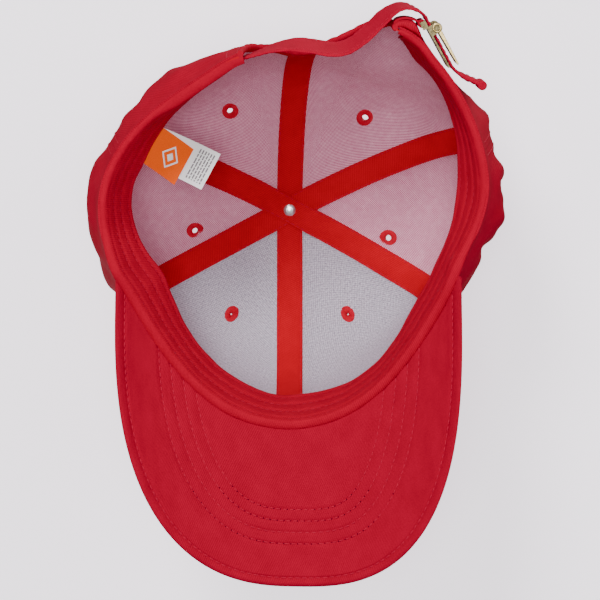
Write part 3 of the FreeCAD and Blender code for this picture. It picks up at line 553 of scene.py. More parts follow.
def dotted(name, ground, dot, step, share, rotate, patchy, regular=1.0, grain=0.25):
    """Open fabric with a regular grid of small raised dots or gaps."""
    mat, nodes, links, bsdf = material(name)
    uv, turned = turned_uv(nodes, links, rotate)
    waves = [texture(nodes, links, "ShaderNodeTexWave", turned, Scale=BAND_SCALE / step,
                     Distortion=0.35, Detail=1.0, bands_direction=direction)
             for direction in ("X", "Y")]
    both = node(nodes, "ShaderNodeMath", operation="MULTIPLY")
    links.new(waves[0], both.inputs[0])
    links.new(waves[1], both.inputs[1])
    patch = texture(nodes, links, "ShaderNodeTexNoise", uv, Scale=grain, Detail=4.0,
                    Roughness=0.7)
    even = node(nodes, "ShaderNodeMath", operation="MULTIPLY")
    links.new(both.outputs[0], even.inputs[0])
    even.inputs[1].default_value = regular
    total = multiply_add(nodes, links, patch, patchy, even.outputs[0])
    paint(nodes, links, bsdf, total, share, share + 0.45, ground, dot)
    emboss(nodes, links, bsdf, both.outputs[0], 0.4, 0.0003)
    set_shader(bsdf, Roughness=0.85, Specular_IOR_Level=0.2, Sheen_Weight=0.1)
    return mat


def thread(name, colour, roughness=0.6):
    mat, nodes, links, bsdf = material(name)
    set_shader(bsdf, Base_Color=(*colour, 1), Roughness=roughness, Specular_IOR_Level=0.15)
    return mat


def metal(name, dark, light, roughness, scale=900.0, bump=0.05):
    """Plated metal, or a much darker copy of it that is painted shade, rubbed brighter in places.
    """
    mat, nodes, links, bsdf = material(name)
    at = node(nodes, "ShaderNodeTexCoord").outputs["Object"]
    rub = texture(nodes, links, "ShaderNodeTexNoise", at, Scale=scale, Detail=5.0,
                  Roughness=0.65)
    paint(nodes, links, bsdf, rub, 0.35, 0.7, dark, light)
    emboss(nodes, links, bsdf, rub, bump, 0.0002)
    set_shader(bsdf, Metallic=1.0, Roughness=roughness)
    return mat


M = {
    "panel": twill("red_twill", (0.24, 0.0003, 0.009), (0.44, 0.0008, 0.024)),
    "visor": twill("red_visor_twill", (0.22, 0.0002, 0.010), (0.41, 0.0004, 0.024)),
    "band": twill("red_band_twill", (0.26, 0.0003, 0.010), (0.46, 0.0008, 0.024)),
    "tape": twill("red_seam_tape", (0.34, 0.0004, 0.006), (0.56, 0.001, 0.014), rib=1.0,
                  bump=0.3),
    "strap": twill("red_strap_twill", (0.26, 0.0003, 0.011), (0.46, 0.001, 0.028)),
    "buckram": dotted("front_buckram", (0.20, 0.17, 0.23), (0.80, 0.74, 0.84), 1.0, 0.24,
                      rotate=30.0, patchy=0.75, regular=0.28, grain=0.9),
    "mesh": dotted("knit_mesh", (0.47, 0.07, 0.17), (0.97, 0.62, 0.75), 0.72, 0.20,
                   rotate=45.0, patchy=0.34),
    "thread": thread("red_thread", (0.42, 0.001, 0.028)),
    # Eyelet thread is a lighter red than the sewing thread: painted light that makes up for the
    # ring's self-shadowing.
    "eyelet": thread("red_satin_thread", (0.55, 0.0015, 0.024), 0.55),
    "brass": metal("antique_brass", (0.30, 0.21, 0.07), (0.66, 0.51, 0.24), 0.34),
    # Much darker copy of the brass: painted shade for the buckle's base plate and pin, which sit
    # in shadow.
    "brass_painted_shade": metal("brass_copy_painted_shade", (0.05, 0.04, 0.02), (0.22, 0.18, 0.09), 0.4),
    "rivet": metal("rivet_plate", (0.88, 0.88, 0.89), (0.97, 0.97, 0.97), 0.3, scale=400.0,
                   bump=0.0),
}


def dress(obj, mat):
    """Material and material slot of a piece."""
    obj.data.materials.clear()
    obj.data.materials.append(M[mat])
    return obj


def wear(obj, mat, body="cap", stands_for=None):
    """Material, slot and body of a piece, and the node that it stands for."""
    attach(dress(obj, mat), body)
    if stands_for:
        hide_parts(stands_for)
    return obj


# ------------------------------------------------------------------ crown pieces
ARCH_AZ, ARCH_HALF, ARCH_H, ARCH_POW, ARCH_REACH = 186.0, 20.5, 38.0, 2.4, 98.0


def arch_height(azimuth):
    d = np.minimum(np.abs(np.asarray(azimuth, float) - ARCH_AZ) / ARCH_HALF, 1.0)
    return ARCH_H * (1.0 - d ** ARCH_POW) ** (1.0 / ARCH_POW)


def panel_grid(index, trim=0.0):
    """Azimuths and distances from the apex on one panel, less a trim at the rim."""
    name = PANELS[index]
    low, high = seam_at(index, 1.0), seam_at(index + 1, 1.0)
    if name.startswith("back"):
        t = np.linspace(0, math.pi / 2, 30)
        off = ARCH_HALF * np.cos(t) ** (2 / ARCH_POW)
        if name == "back_left":
            edge = ARCH_AZ - off
            rim = np.concatenate([np.linspace(low, edge[0], 44, endpoint=False), edge])
        else:
            edge = (ARCH_AZ + off)[::-1]
            rim = np.concatenate([edge, np.linspace(edge[-1], high, 38)[1:]])
        rim[-1] = min(rim[-1], high)
        us = (rim - low) / (high - low)
    else:
        us = np.linspace(0, 1, 68)
    vs = np.linspace(0, 1, 96)
    u, v = np.meshgrid(us, vs, indexing="ij")
    middle = (low + high) / 2.0
    length_mid = float(crown_length(middle))

    def azimuth_at(rho):
        share = rho / length_mid
        radius = sample(R_TABLE, np.full(rho.shape, middle % 360.0), rho)
        gap = np.degrees(SEAM_HALF_GAP / np.maximum(radius, TOP_HOLE_R))
        a = seam_at(index, share) + gap
        b = seam_at(index + 1, share) - gap
        return a + (b - a) * u[:, :rho.shape[1]]

    length = crown_length(low + (high - low) * us)[:, None]
    end = length.copy()
    if name.startswith("back"):
        lo, hi = length - 2.2 * ARCH_H, length.copy()
        for _ in range(24):
            mid = (lo + hi) / 2
            a = azimuth_at(mid)
            inside = (sample(Z_TABLE, a, mid) < arch_height(a)) & (arch_height(a) > 0.01)
            lo = np.where(inside, lo, mid)
            hi = np.where(inside, mid, hi)
        a = azimuth_at(length)
        end = np.where(np.abs(a - ARCH_AZ) < ARCH_HALF, lo, length)
    rho = TOP_HOLE_R + (end - trim - TOP_HOLE_R) * v
    return azimuth_at(rho), rho


def bore(obj, centre, axis, radius, depth=12.0):
    """Cut a round hole through a piece, in place."""
    bpy.ops.mesh.primitive_cylinder_add(vertices=32, radius=radius / 1000,
                                        depth=depth / 1000, location=row(centre))
    tool = bpy.context.active_object
    tool.rotation_mode = "QUATERNION"
    tool.rotation_quaternion = row_vector(axis).to_track_quat("Z", "Y")
    bpy.context.view_layer.update()
    cut = obj.modifiers.new("hole", "BOOLEAN")
    cut.operation, cut.object, cut.solver = "DIFFERENCE", tool, "EXACT"
    graph = bpy.context.evaluated_depsgraph_get()
    made = bpy.data.meshes.new_from_object(obj.evaluated_get(graph))
    obj.modifiers.remove(cut)
    obj.data = made
    bpy.data.objects.remove(tool)


def rho_for_radius(azimuth, radius):
    rho = np.linspace(0, 100, 401)
    r = sample(R_TABLE, np.full(rho.shape, azimuth), rho)
    return float(np.interp(radius, r, rho))


def site(azimuth, radius):
    rho = rho_for_radius(azimuth, radius)
    return crown(azimuth, rho, 0.0), normals(azimuth, rho)


def lathe(name, outline, centre, axis, steps=96, rib=None, stretch=1.0):
    """Turned piece from (radius, height) points; rib waves the height."""
    axis = np.asarray(axis, float)
    axis = axis / np.linalg.norm(axis)
    side = np.cross(axis, [0.0, 0.0, 1.0] if abs(axis[2]) < 0.9 else [1.0, 0.0, 0.0])
    side /= np.linalg.norm(side)
    other = np.cross(axis, side)
    t = np.linspace(0, 2 * math.pi, steps, endpoint=False)
    points, faces = [], []
    n = len(outline)
    for k, (r, h) in enumerate(outline):
        wave = rib(k, t) if rib else np.zeros(steps)
        spoke = np.cos(t)[:, None] * side + np.sin(t)[:, None] * other * stretch
        points.append(np.asarray(centre) + axis * (h + wave)[:, None] + spoke * r)
    a = np.arange(steps)
    b = (a + 1) % steps
    for k in range(0, (n - 1) * steps, steps):
        faces += np.stack([a + k, b + k, b + k + steps, a + k + steps], -1).tolist()
    if outline[0] != outline[-1]:
        faces.append(list(range(steps))[::-1])
        faces.append(list(range((n - 1) * steps, n * steps)))
    return new_mesh(name, np.concatenate(points), faces)


EYELET_DEEP = PANEL_T + GAP + BACKING_T
EYELET_TURNS, EYELET_ARC_STEPS = 34, 24


def eyelet_thread(name, centre, axis, hole):
    """Satin-thread ring on each face of the cloth, joined through the hole."""
    loose = hole > 1
    wide = 1.35 if loose else 1.55
    middle = hole + wide
    half_turn = [math.pi * k / EYELET_ARC_STEPS for k in range(EYELET_ARC_STEPS + 1)]
    line = [(middle + wide * math.cos(t), 0.1 + 0.75 * math.sin(t)) for t in half_turn]
    line += [(middle - wide * math.cos(t), -EYELET_DEEP - 0.1 - 0.7 * math.sin(t))
             for t in half_turn]
    line.append(line[0])
    seeds = RNG.normal(0, 1, (EYELET_TURNS, 2))
    rough = 0.05 if loose else 0.22
    count = len(line)

    def rib(k, t):
        if k in (0, count - 1, count // 2 - 1, count // 2):
            return np.zeros_like(t)
        which = (t / (2 * math.pi) * EYELET_TURNS).astype(int)
        which = np.minimum(which, EYELET_TURNS - 1)
        phase = np.abs(np.sin(t * EYELET_TURNS / 2.0)) ** 0.6
        sign = 1.0 if k < count // 2 else -1.0
        return sign * (0.32 * (phase - 0.5) + rough * seeds[which, 0])

    ring_obj = lathe("eyelet_thread_" + name, line, centre, axis, steps=340, rib=rib,
                     stretch=1.15 if loose else 1.35)
    wear(ring_obj, "eyelet", stands_for="eyelet_" + name)


for index, name in enumerate(PANELS):
    azimuth, rho = panel_grid(index)
    panel = slab("cloth_" + name, crown(azimuth, rho, 0.0), crown(azimuth, rho, PANEL_T))
    azimuth, rho = panel_grid(index, RIM_MARGIN)
    back = slab("lining_" + name, crown(azimuth, rho, PANEL_T + GAP),
                crown(azimuth, rho, EYELET_DEEP))
    az, radius, hole = EYELETS[name]
    centre, axis = site(az, radius)
    for piece in (panel, back):
        bore(piece, centre, axis, hole + 0.5)
    lining, slot = ("buckram", "front_buckram") if "front" in name else ("mesh", "knit_mesh")
    wear(crisp(panel), "panel", stands_for="panel_" + name)
    wear(crisp(back), lining, stands_for="backing_" + name)
    eyelet_thread(name, centre, axis, hole)


# Seam tapes, sewn down along both edges.
SEWN = 0.86


def tape(name, first, second, level, back_stop):
    length_a = float(crown_length(SEAMS[first][1]))
    length_b = float(crown_length(SEAMS[second][1]))
    along = np.linspace(RIM_MARGIN - length_a, length_b - back_stop, 260)
    across = np.linspace(-TAPE_HALF, TAPE_HALF, 17)
    rho, w = np.meshgrid(along, across, indexing="ij")
    reach = np.abs(rho)
    centre = np.where(rho < 0, seam_at(first, reach / length_a),
                      seam_at(second, reach / length_b))
    kink = (SEAMS[second][0] - SEAMS[first][0]) % 360.0 - 180.0
    even = SEAMS[first][0] + kink / 2.0
    even = np.where(rho < 0, even, even + 180.0)
    turn_by = np.mod(centre - even + 180.0, 360.0) - 180.0
    centre = even + turn_by * smooth((reach - 8.0) / 8.0)
    fade = 1.0 - smooth((reach - TAPE_STACK_FLAT) / TAPE_STACK_FADE)
    side = np.where(rho < 0, w, -w)
    radius = np.maximum(sample(R_TABLE, centre, reach), 1e-6)
    azimuth = centre + np.degrees(np.arctan2(side, radius))
    edge = np.abs(w) / TAPE_HALF
    pillow = 0.22 * np.exp(-((edge - SEWN) / 0.08) ** 2) - 0.15 * (1 - edge ** 2)
    stack = level * (TAPE_T + GAP) * fade
    outer = crown(azimuth, np.hypot(rho, w), TAPE_NEAR + stack)
    inner = crown(azimuth, np.hypot(rho, w), TAPE_NEAR + TAPE_T + stack - pillow)
    wear(crisp(slab("ribbon_" + name, outer, inner)), "tape",
         stands_for="tape_" + name)
    columns = [int(round((share + 1) / 2 * 16)) for share in (-SEWN, SEWN)]
    rows = [(inner[:, k], inner[:, k] - outer[:, k]) for k in columns]
    wear(stitches("stitching_" + name, rows, 2.4, 3.1, 0.2), "thread")


tape("front_to_back", 0, 3, 0, ARCH_H + 10.0)
tape("left_front_to_right_back", 1, 4, 1, RIM_MARGIN)
tape("right_front_to_left_back", 5, 2, 2, RIM_MARGIN)

# Topstitching beside every seam on the outside of the crown.
rows = []
for index in range(6):
    length = float(crown_length(SEAMS[index][1]))
    stop = ARCH_H + 1.0 if index == 3 else 3.0
    rho = np.linspace(9.0, length - stop, 160)
    centre = seam_at(index, rho / length)
    radius = sample(R_TABLE, centre, rho)
    for w in (-3.2, 3.2):
        az = centre + np.degrees(w / radius)
        rows.append((crown(az, rho, -0.05), normals(az, rho)))
wear(stitches("panel_topstitching", rows, 2.4, 3.1, 0.25), "thread")


# Rear opening's binding.
def arch_points(t, inset, depth):
    """Points beside the opening's edge, and the crown's outward direction there."""
    power = 2.0 / ARCH_POW
    half = math.radians(ARCH_HALF) * ARCH_REACH

    def outline(a):
        c = np.cos(a)
        return -np.sign(c) * half * np.abs(c) ** power, ARCH_H * np.maximum(np.sin(a), 0) ** power

    x, h = outline(t)
    x0, h0 = outline(np.maximum(t - 0.01, 0.0))
    x1, h1 = outline(np.minimum(t + 0.01, math.pi))
    size = np.hypot(x1 - x0, h1 - h0)
    x = x - inset * (h1 - h0) / size
    h = h + inset * (x1 - x0) / size
    azimuth = ARCH_AZ + np.degrees(x / ARCH_REACH)
    length = crown_length(azimuth)
    low, high = length - 2.2 * ARCH_H, length.copy()
    for _ in range(26):
        mid = (low + high) / 2
        above = sample(Z_TABLE, azimuth, mid) > h
        low = np.where(above, mid, low)
        high = np.where(above, high, mid)
    return crown(azimuth, low, depth), normals(azimuth, low)


BINDING_WIDTH = 9.0
t, inset = np.meshgrid(np.linspace(0, math.pi, 150), np.linspace(0.1, BINDING_WIDTH, 14),
                       indexing="ij")
plump = 0.35 * np.sin(np.clip(inset / BINDING_WIDTH, 0, 1) * math.pi) ** 2
obj = slab("opening_binding", arch_points(t, inset, TAPE_NEAR)[0],
           arch_points(t, inset, TAPE_NEAR + TAPE_T + plump)[0])
wear(crisp(obj), "tape", stands_for="rear_arch_binding")
line = np.linspace(0.02, math.pi - 0.02, 200)
rows = []
for off in (1.8, 7.6):
    p, n = arch_points(line, np.full(line.shape, off), TAPE_NEAR + TAPE_T + 0.05)
    rows.append((p, -n))
    p, n = arch_points(line, np.full(line.shape, off), -0.05)
    rows.append((p, n))
wear(stitches("opening_stitching", rows, 2.4, 3.1, 0.24), "thread")

# Rolled edge of the opening.
t, k = np.meshgrid(np.linspace(0.0, math.pi, 220), np.linspace(0, 2 * math.pi, 17),
                   indexing="ij")
line = t[:, 0]
middle, up = arch_points(line, np.full(line.shape, 0.2), 0.95)
along = np.gradient(middle, axis=0)
along /= np.linalg.norm(along, axis=1, keepdims=True)
side = np.cross(along, up)
round_by = 1.45 + 0.10 * np.sin(line * 31) + 0.07 * np.sin(line * 53 + 1)
grid = (middle[:, None] + (up[:, None] * np.sin(k)[..., None] * 1.15
                           + side[:, None] * np.cos(k)[..., None]) * round_by[:, None, None])
roll = tube("opening_roll", grid[:, :-1], np.stack([k * 1.4, t * 50], -1)[:, :-1])
wear(crisp(roll), "band")

# ------------------------------------------------------------------ sweatband
BAND_TOP = ring([(6, 86.0), (14, 83.5), (22, 80.7), (32, 77), (50, 70.5), (62, 67.5),
                 (72, 67), (82, 72), (95, 78.3), (105, 81), (114, 80), (129, 81),
                 (150, 83), (166, 88), (186, 91), (208, 102.0), (216, 105.0),
                 (223, 104.5), (231, 101), (240, 96.2), (250, 90), (260, 85),
                 (270, 80.6), (280, 76.5), (291, 74.4), (302, 74), (315, 77.3),
                 (328, 82), (340, 84.8), (356, 86.0)])
BAND_T, BAND_TALL, BAND_LIFT = 1.3, 30.0, 0.6
BAND_START, BAND_END = 165.5, -150.5
BAND_INSET = TAPE_NEAR + TAPE_T + GAP + 0.5
BAND_ROWS = [0.10, 0.37, 0.64, 0.90]


def band(azimuth, share, depth):
    """Point on the sweatband: share 0 at the rim and 1 at its free edge."""
    azimuth, share, depth = floats(azimuth, share, depth)
    strap_room = 2.2 * smooth((azimuth - 131.0) / 10.0)
    foot = look("rim", azimuth) - BAND_INSET - BAND_T - strap_room
    top = np.interp(np.mod(azimuth, 360), TABLE_AT, BAND_TOP)
    bend = share + 0.35 * share * (1 - share)
    r = foot + (top - foot) * (2 * share - bend) + depth
    x, y = plan(azimuth, r)
    return np.stack([x, y, rim_z(azimuth) + BAND_LIFT + (BAND_TALL - BAND_LIFT) * share], -1)


def plan_radius(points):
    return np.hypot(points[..., 0], points[..., 1] - CENTRE_Y)


def front_drop(azimuth):
    """How far the band's lower fold hangs over the visor's root."""
    return 5.6 * (1 - smooth((np.abs(azimuth) - 78.0) / 16.0))


a, s = np.meshgrid(np.linspace(BAND_START, BAND_END, 560), np.linspace(0, 1, 46),
                   indexing="ij")
quilt = sum(np.exp(-((s - k) / 0.035) ** 2) for k in BAND_ROWS)
wrinkle = 0.35 * np.sin(np.radians(a) * 23 + 4 * s) * np.sin(np.radians(a) * 7 + 1.3)
full = 0.85 * (1 - quilt) + 0.4 * wrinkle * (1 - quilt)
full *= smooth(s / 0.06)
lip = 0.5 * smooth((s - 0.94) / 0.06)
# The loose ends beside the opening lean out against the crown.
ends = smooth(np.minimum(BAND_START - a, a - BAND_END) / 9.0)
lean_out = np.where(a < 0, 1.0, 0.35) * (1 - ends)
room = look("rim", a) - 4.3 - plan_radius(band(a, s, 0.0))
push = np.clip(room, 0.0, 12.0) * lean_out * 0.8
outer = band(a, s, BAND_T + push)
inner = band(a, s, 0.55 - full + lip + push)
sag = front_drop(a) * (1 - s) ** 1.6
outer[..., 2] -= sag
inner[..., 2] -= sag
wear(crisp(slab("band_cloth", outer, inner)), "band",
     stands_for="sweatband")
line = np.linspace(165.0, -150.0, 900)
rows = []
for k in BAND_ROWS:
    column = np.argmin(np.abs(s[0] - k))
    p = along_line(-line, -a[:, 0], inner[:, column])
    q = along_line(-line, -a[:, 0], outer[:, column])
    rows.append((p + (q - p) * 0.03, p - q))
wear(stitches("band_stitching", rows, 2.4, 3.3, 0.27), "thread")

# Folded edge that joins the band to the crown all round the rim.
a, w = np.meshgrid(np.linspace(166.0, -152.0, 560), np.linspace(0, 1, 9), indexing="ij")
foot = plan_radius(band(a, 0.0, 0.35))
drop = front_drop(a)
out_r = look("rim", a) - 0.35 + 0.17 * drop
x, y = plan(a, foot + (out_r - foot) * w)
low = rim_z(a) + 0.75 - 0.85 * np.sin(math.pi * w) ** 0.6 - drop
seam = slab("rim_seam", np.stack([x, y, low + 1.5 + 0.5 * drop], -1),
            np.stack([x, y, low], -1))
wear(crisp(seam), "band")

# ------------------------------------------------------------------ visor
HALF, TIP_Y, SIDE_Y, HORN_Y, POWER = 84.5, -167.5, -33.0, -16.0, 2.5
ROOT_AZ, ROOT_IN, DROP, COVER_T, BOARD_T = 80.0, 3.2, 0.9, 0.8, 1.7
STRAIGHT, SKEW = 0.16, 4.6


def visor_plan(u, v):
    """Plan point: u from horn to horn, v from the rim to the edge, skewed at the tip."""
    u, v = floats(u, v)
    az = ROOT_AZ * u
    x0, y0 = plan(az, look("rim", az) - ROOT_IN)
    side = np.where(u >= 0, 1.0, -1.0)
    angle = math.pi / 2 * (1 - np.minimum(np.abs(u) / (1 - STRAIGHT), 1.0))
    power = 2 / POWER
    x1 = HALF * side * np.maximum(np.cos(angle), 0.0) ** power
    y1 = SIDE_Y - (SIDE_Y - TIP_Y) * np.sin(angle) ** power
    share = (1 - np.abs(u)) / STRAIGHT
    end = np.abs(u) > 1 - STRAIGHT
    x1 = np.where(end, HALF * side, x1)
    y1 = np.where(end, HORN_Y + (SIDE_Y - HORN_Y) * share, y1)
    x, y = x0 + (x1 - x0) * v, y0 + (y1 - y0) * v
    return x - SKEW * (np.maximum(SIDE_Y - y, 0.0) / (SIDE_Y - TIP_Y)) ** 2, y


EDGE = np.stack(visor_plan(np.linspace(-1, 1, 1201), 1.0), -1)


def from_edge(x, y):
    """Distance in plan from the visor's free edge."""
    best = np.full(x.shape, 1e9)
    for p, q in zip(EDGE[:-1:4], EDGE[4::4]):
        d = q - p
        t = np.clip(((x - p[0]) * d[0] + (y - p[1]) * d[1]) / (d @ d), 0, 1)
        best = np.minimum(best, np.hypot(x - p[0] - t * d[0], y - p[1] - t * d[1]))
    return best


# Distances of the stitch rows from the edge.
VISOR_ROWS, EDGE_ROW = [20.0, 25.3, 30.6, 35.9], 4.4
even = np.linspace(-1, 1, 241)
bend = math.pi / 2 * 0.93
us = even * 0.5 + np.sin(even * bend) / math.sin(bend) * 0.5
vs = 1 - (1 - np.linspace(0, 1, 150)) ** 1.25
u, v = np.meshgrid(us, vs, indexing="ij")
x, y = visor_plan(u, v)
away = from_edge(x, y)
z_top = visor_z(x, y) - DROP
middle = COVER_T + BOARD_T / 2 + GAP


def bump(at, width):
    return np.exp(-((away - at) / width) ** 2)


soft = 0.22 * ripple(np.stack([x, y, 0 * x], -1), 38.0) + 0.12 * ripple(
    np.stack([y, -x, 0 * x], -1), 14.0)
curl = np.sqrt(np.clip(1 - ((2.6 - away) / 2.6).clip(0, 1) ** 2, 0, 1))
# Both covers stand off the board's middle, with cushions between the sewn rows.
full = soft - 0.62 * sum(bump(k, 0.75) for k in VISOR_ROWS)
full += 0.35 * bump(EDGE_ROW / 2, 1.3) - 0.75 * bump(EDGE_ROW, 0.6)
height = (middle - 0.05) * curl
hidden = (height - COVER_T) * smooth(away / 3.0)
top_out, top_in, low_in, low_out = [
    np.stack([x, y, z_top - middle + rise], -1)
    for rise in (height + 0.4 * full * curl + 0.1, hidden, -hidden, -height - full * curl - 0.1)]
wear(crisp(slab("visor_upper_cloth", top_out, top_in), 60), "visor",
     stands_for="visor_top_cover")
wear(crisp(slab("visor_lower_cloth", low_in, low_out), 60), "visor",
     stands_for="visor_under_cover")


def visor_line(inset):
    """Line at a fixed distance from the edge, cut off at the crown."""
    d = np.gradient(EDGE, axis=0)
    d /= np.linalg.norm(d, axis=1, keepdims=True)
    inward = np.stack([-d[:, 1], d[:, 0]], -1)
    if (inward[600] @ np.array([0.0, 1.0])) < 0:
        inward = -inward
    p = EDGE + inward * inset
    top = np.linspace(40, 0, 40)
    left = np.stack([np.full(40, p[0, 0]), p[0, 1] + top], -1)
    right = np.stack([np.full(40, p[-1, 0]), p[-1, 1] + top[::-1]], -1)
    p = np.concatenate([left, p, right])
    far = np.hypot(p[:, 0], p[:, 1] - CENTRE_Y)
    az = np.degrees(np.arctan2(p[:, 0], CENTRE_Y - p[:, 1]))
    keep = far > look("rim", az) - 1.5
    return p[keep & (from_edge(p[:, 0], p[:, 1]) > inset - 0.4)]


rows = []
for inset in VISOR_ROWS + [EDGE_ROW]:
    px, py = visor_line(inset).T
    top = visor_z(px, py) - DROP
    deep = 0.5 if inset > EDGE_ROW else 0.42
    slope = np.stack([-px / VISOR_R, 0 * px - VISOR_TAN, 0 * px - 1], -1)
    rows.append((np.stack([px, py, top - 2 * middle + deep], -1), slope))
    rows.append((np.stack([px, py, top - 0.05], -1), -slope))
wear(stitches("visor_stitching", rows, 2.5, 3.4, 0.32), "thread")
# Near-black dots between the stitches on the visor's underside: painted shade standing in for the
# needle holes.
hole_shade_dots = []
for points, ups in rows[:8:2]:
    for low, high in ((-62, 58), (66, 84), (-84, -74)):
        pick = (points[:, 0] > low) & (points[:, 0] < high)
        pick &= (points[:, 1] < -118) if abs(low) < 65 else (points[:, 1] < -60)
        if pick.sum() > 20:
            hole_shade_dots.append((points[pick], ups[pick]))
M["hole"] = thread("needle_hole_painted_shade", (0.05, 0.0, 0.004), 0.9)
wear(stitches("painted_needle_hole_shade", hole_shade_dots, 0.75, 3.4, 0.27, start=1.0), "hole")

# ------------------------------------------------------------------ button and rivet
base = 103.0 + GAP
dome = [(0.0, -0.8), (6.6, -0.8), (7.0, 0.0)]
for k in range(1, 15):
    t = math.pi / 2 * k / 14
    dome.append((7.0 * math.cos(t), 0.5 + 4.1 * math.sin(t)))
dome[-1] = (0.05, 4.6)
obj = lathe("button_cloth", dome, (0, CENTRE_Y, base), (0, 0, 1), steps=64)
wear(obj, "panel")
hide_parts("top_button")
under = 103.0 - (PANEL_T + BACKING_T + 1.8 + 6 * GAP)
cap_line = [(0.05, base + 2.2), (1.2, base + 2.2), (1.2, under), (3.2, under), (3.25, under - 0.5)]
for k in range(1, 11):
    t = math.pi / 2 * k / 10
    groove = 0.16 * math.exp(-((k - 4.0) / 0.8) ** 2) + 0.1 * math.exp(-((k - 7.0) / 0.7) ** 2)
    cap_line.append((max(3.2 * math.cos(t), 0.05), under - 0.5 - 1.2 * math.sin(t) + groove))
obj = lathe("rivet_cap", cap_line, (0, CENTRE_Y, 0), (0, 0, 1), steps=64)
wear(crisp(obj, 35), "rivet")
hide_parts("button_rivet")

# ------------------------------------------------------------------ rear strap
BUCKLE_ANGLE = math.radians(241.0)
BUCKLE_AT = np.array([-73.0, 104.9])
STRAP_Z, STRAP_HALF, STRAP_T, LEAN = 13.6, 9.8, 1.4, -5.6
STRAP_N, SEWN_AT = -3.6, 0.80


def buckle_plan(s, n):
    c, d = math.cos(BUCKLE_ANGLE), math.sin(BUCKLE_ANGLE)
    return BUCKLE_AT + np.array([s * c + n * d, s * d - n * c])


def spline(points):
    """Natural cubic through plan points; returns a dense line."""
    p = np.asarray(points, float)
    t = arc_of(p)
    n = len(t)
    h = np.diff(t)
    a = np.zeros((n, n))
    b = np.zeros((n, 2))
    a[0, 0] = a[-1, -1] = 1
    for k in range(1, n - 1):
        a[k, k - 1], a[k, k], a[k, k + 1] = h[k - 1], 2 * (h[k - 1] + h[k]), h[k]
        b[k] = 6 * ((p[k + 1] - p[k]) / h[k] - (p[k] - p[k - 1]) / h[k - 1])
    m = np.linalg.solve(a, b)
    out = []
    for k in range(n - 1):
        count = max(int(h[k] / 0.25), 2)
        x = np.linspace(0, h[k], count, endpoint=(k == n - 2))[:, None]
        out.append(m[k] * (h[k] - x) ** 3 / (6 * h[k]) + m[k + 1] * x ** 3 / (6 * h[k])
                   + (p[k] / h[k] - m[k] * h[k] / 6) * (h[k] - x)
                   + (p[k + 1] / h[k] - m[k + 1] * h[k] / 6) * x)
    return np.concatenate(out)


PATH = [(46.8, 75.1), (40.2, 79.3), (33.2, 84.0), (25.6, 88.0), (17.5, 90.6),
        (8.0, 93.8), (-2.0, 95.6), (-13.5, 94.6), (-25.0, 93.5), (-35.0, 98.4),
        (-43.0, 105.8), (-50.0, 112.0), (-56.5, 114.4), (-61.8, 113.0)]
PATH += [tuple(buckle_plan(s, STRAP_N)) for s in (-8.0, -3.0, 3.0, 10.0, 17.0)]
PATH += [tuple(buckle_plan(s, n)) for s, n in
         ((21.5, -3.4), (25.0, -2.2), (29.0, 0.2), (32.5, 2.9), (35.5, 5.0))]
LINE = spline(PATH)
ARC = arc_of(LINE)


def arc_at(point):
    return float(ARC[np.argmin(np.linalg.norm(LINE - np.asarray(point), axis=1))])


ROOT_END = arc_at((21.5, 89.3))
LOOP_END = arc_at(buckle_plan(-8.0, STRAP_N))
TAIL_FROM = arc_at(buckle_plan(21.5, -3.4))


def strap_point(arc, across, out):
    """Point on the strap: across from -1 to 1 up its width, out from its middle."""
    arc, across, out = floats(arc, across, out)
    x = np.interp(arc, ARC, LINE[:, 0])
    y = np.interp(arc, ARC, LINE[:, 1])
    dx = np.interp(arc + 0.6, ARC, LINE[:, 0]) - np.interp(arc - 0.6, ARC, LINE[:, 0])
    dy = np.interp(arc + 0.6, ARC, LINE[:, 1]) - np.interp(arc - 0.6, ARC, LINE[:, 1])
    size = np.hypot(dx, dy)
    nx, ny = dy / size, -dx / size
    rise = smooth((arc - ROOT_END) / (LOOP_END - ROOT_END) * 3.0)
    fall = smooth((LOOP_END - arc) / (LOOP_END - ROOT_END) * 4.0)
    lean = LEAN * np.minimum(rise, fall)
    shift = out - lean * across / 2.0
    return np.stack([x + nx * shift, y + ny * shift, STRAP_Z + STRAP_HALF * across], -1)


def fat(arc):
    """Thickening of the strap beyond the buckle, where its end is doubled."""
    return 1.0 + 0.8 * smooth((arc - TAIL_FROM - 3.0) / 5.0)


def strap_section(name, start, end, count):
    """Folded cloth band: two rounded long edges, sewn along both."""
    arcs, t = np.meshgrid(np.linspace(start, end, count),
                          np.linspace(0, 2 * math.pi, 48, endpoint=False), indexing="ij")
    across, thick = superellipse(t, 0.32, 0.45)
    hollow = 0.17 * np.exp(-((np.abs(across) - SEWN_AT) / 0.06) ** 2)
    wave = 0.07 * np.sin(arcs * 0.55 + 2 * across) + 0.05 * np.sin(arcs * 1.3)
    out = (STRAP_T / 2 * thick * fat(arcs) - np.sign(thick) * hollow
           + wave * smooth((arcs - start) / 4) * smooth((end - arcs) / 4))
    uv = np.stack([arcs, across * STRAP_HALF], -1)
    return tube(name, strap_point(arcs, across, out), uv, flip=True)


def strap_rows(start, end):
    arcs = np.linspace(start, end, max(int((end - start) * 2), 8))
    rows = []
    for across in (-SEWN_AT, SEWN_AT):
        for side in (-1, 1):
            p = strap_point(arcs, across, side * (STRAP_T / 2 * fat(arcs) - 0.1))
            q = strap_point(arcs, across, 0.0)
            rows.append((p, p - q))
    return rows


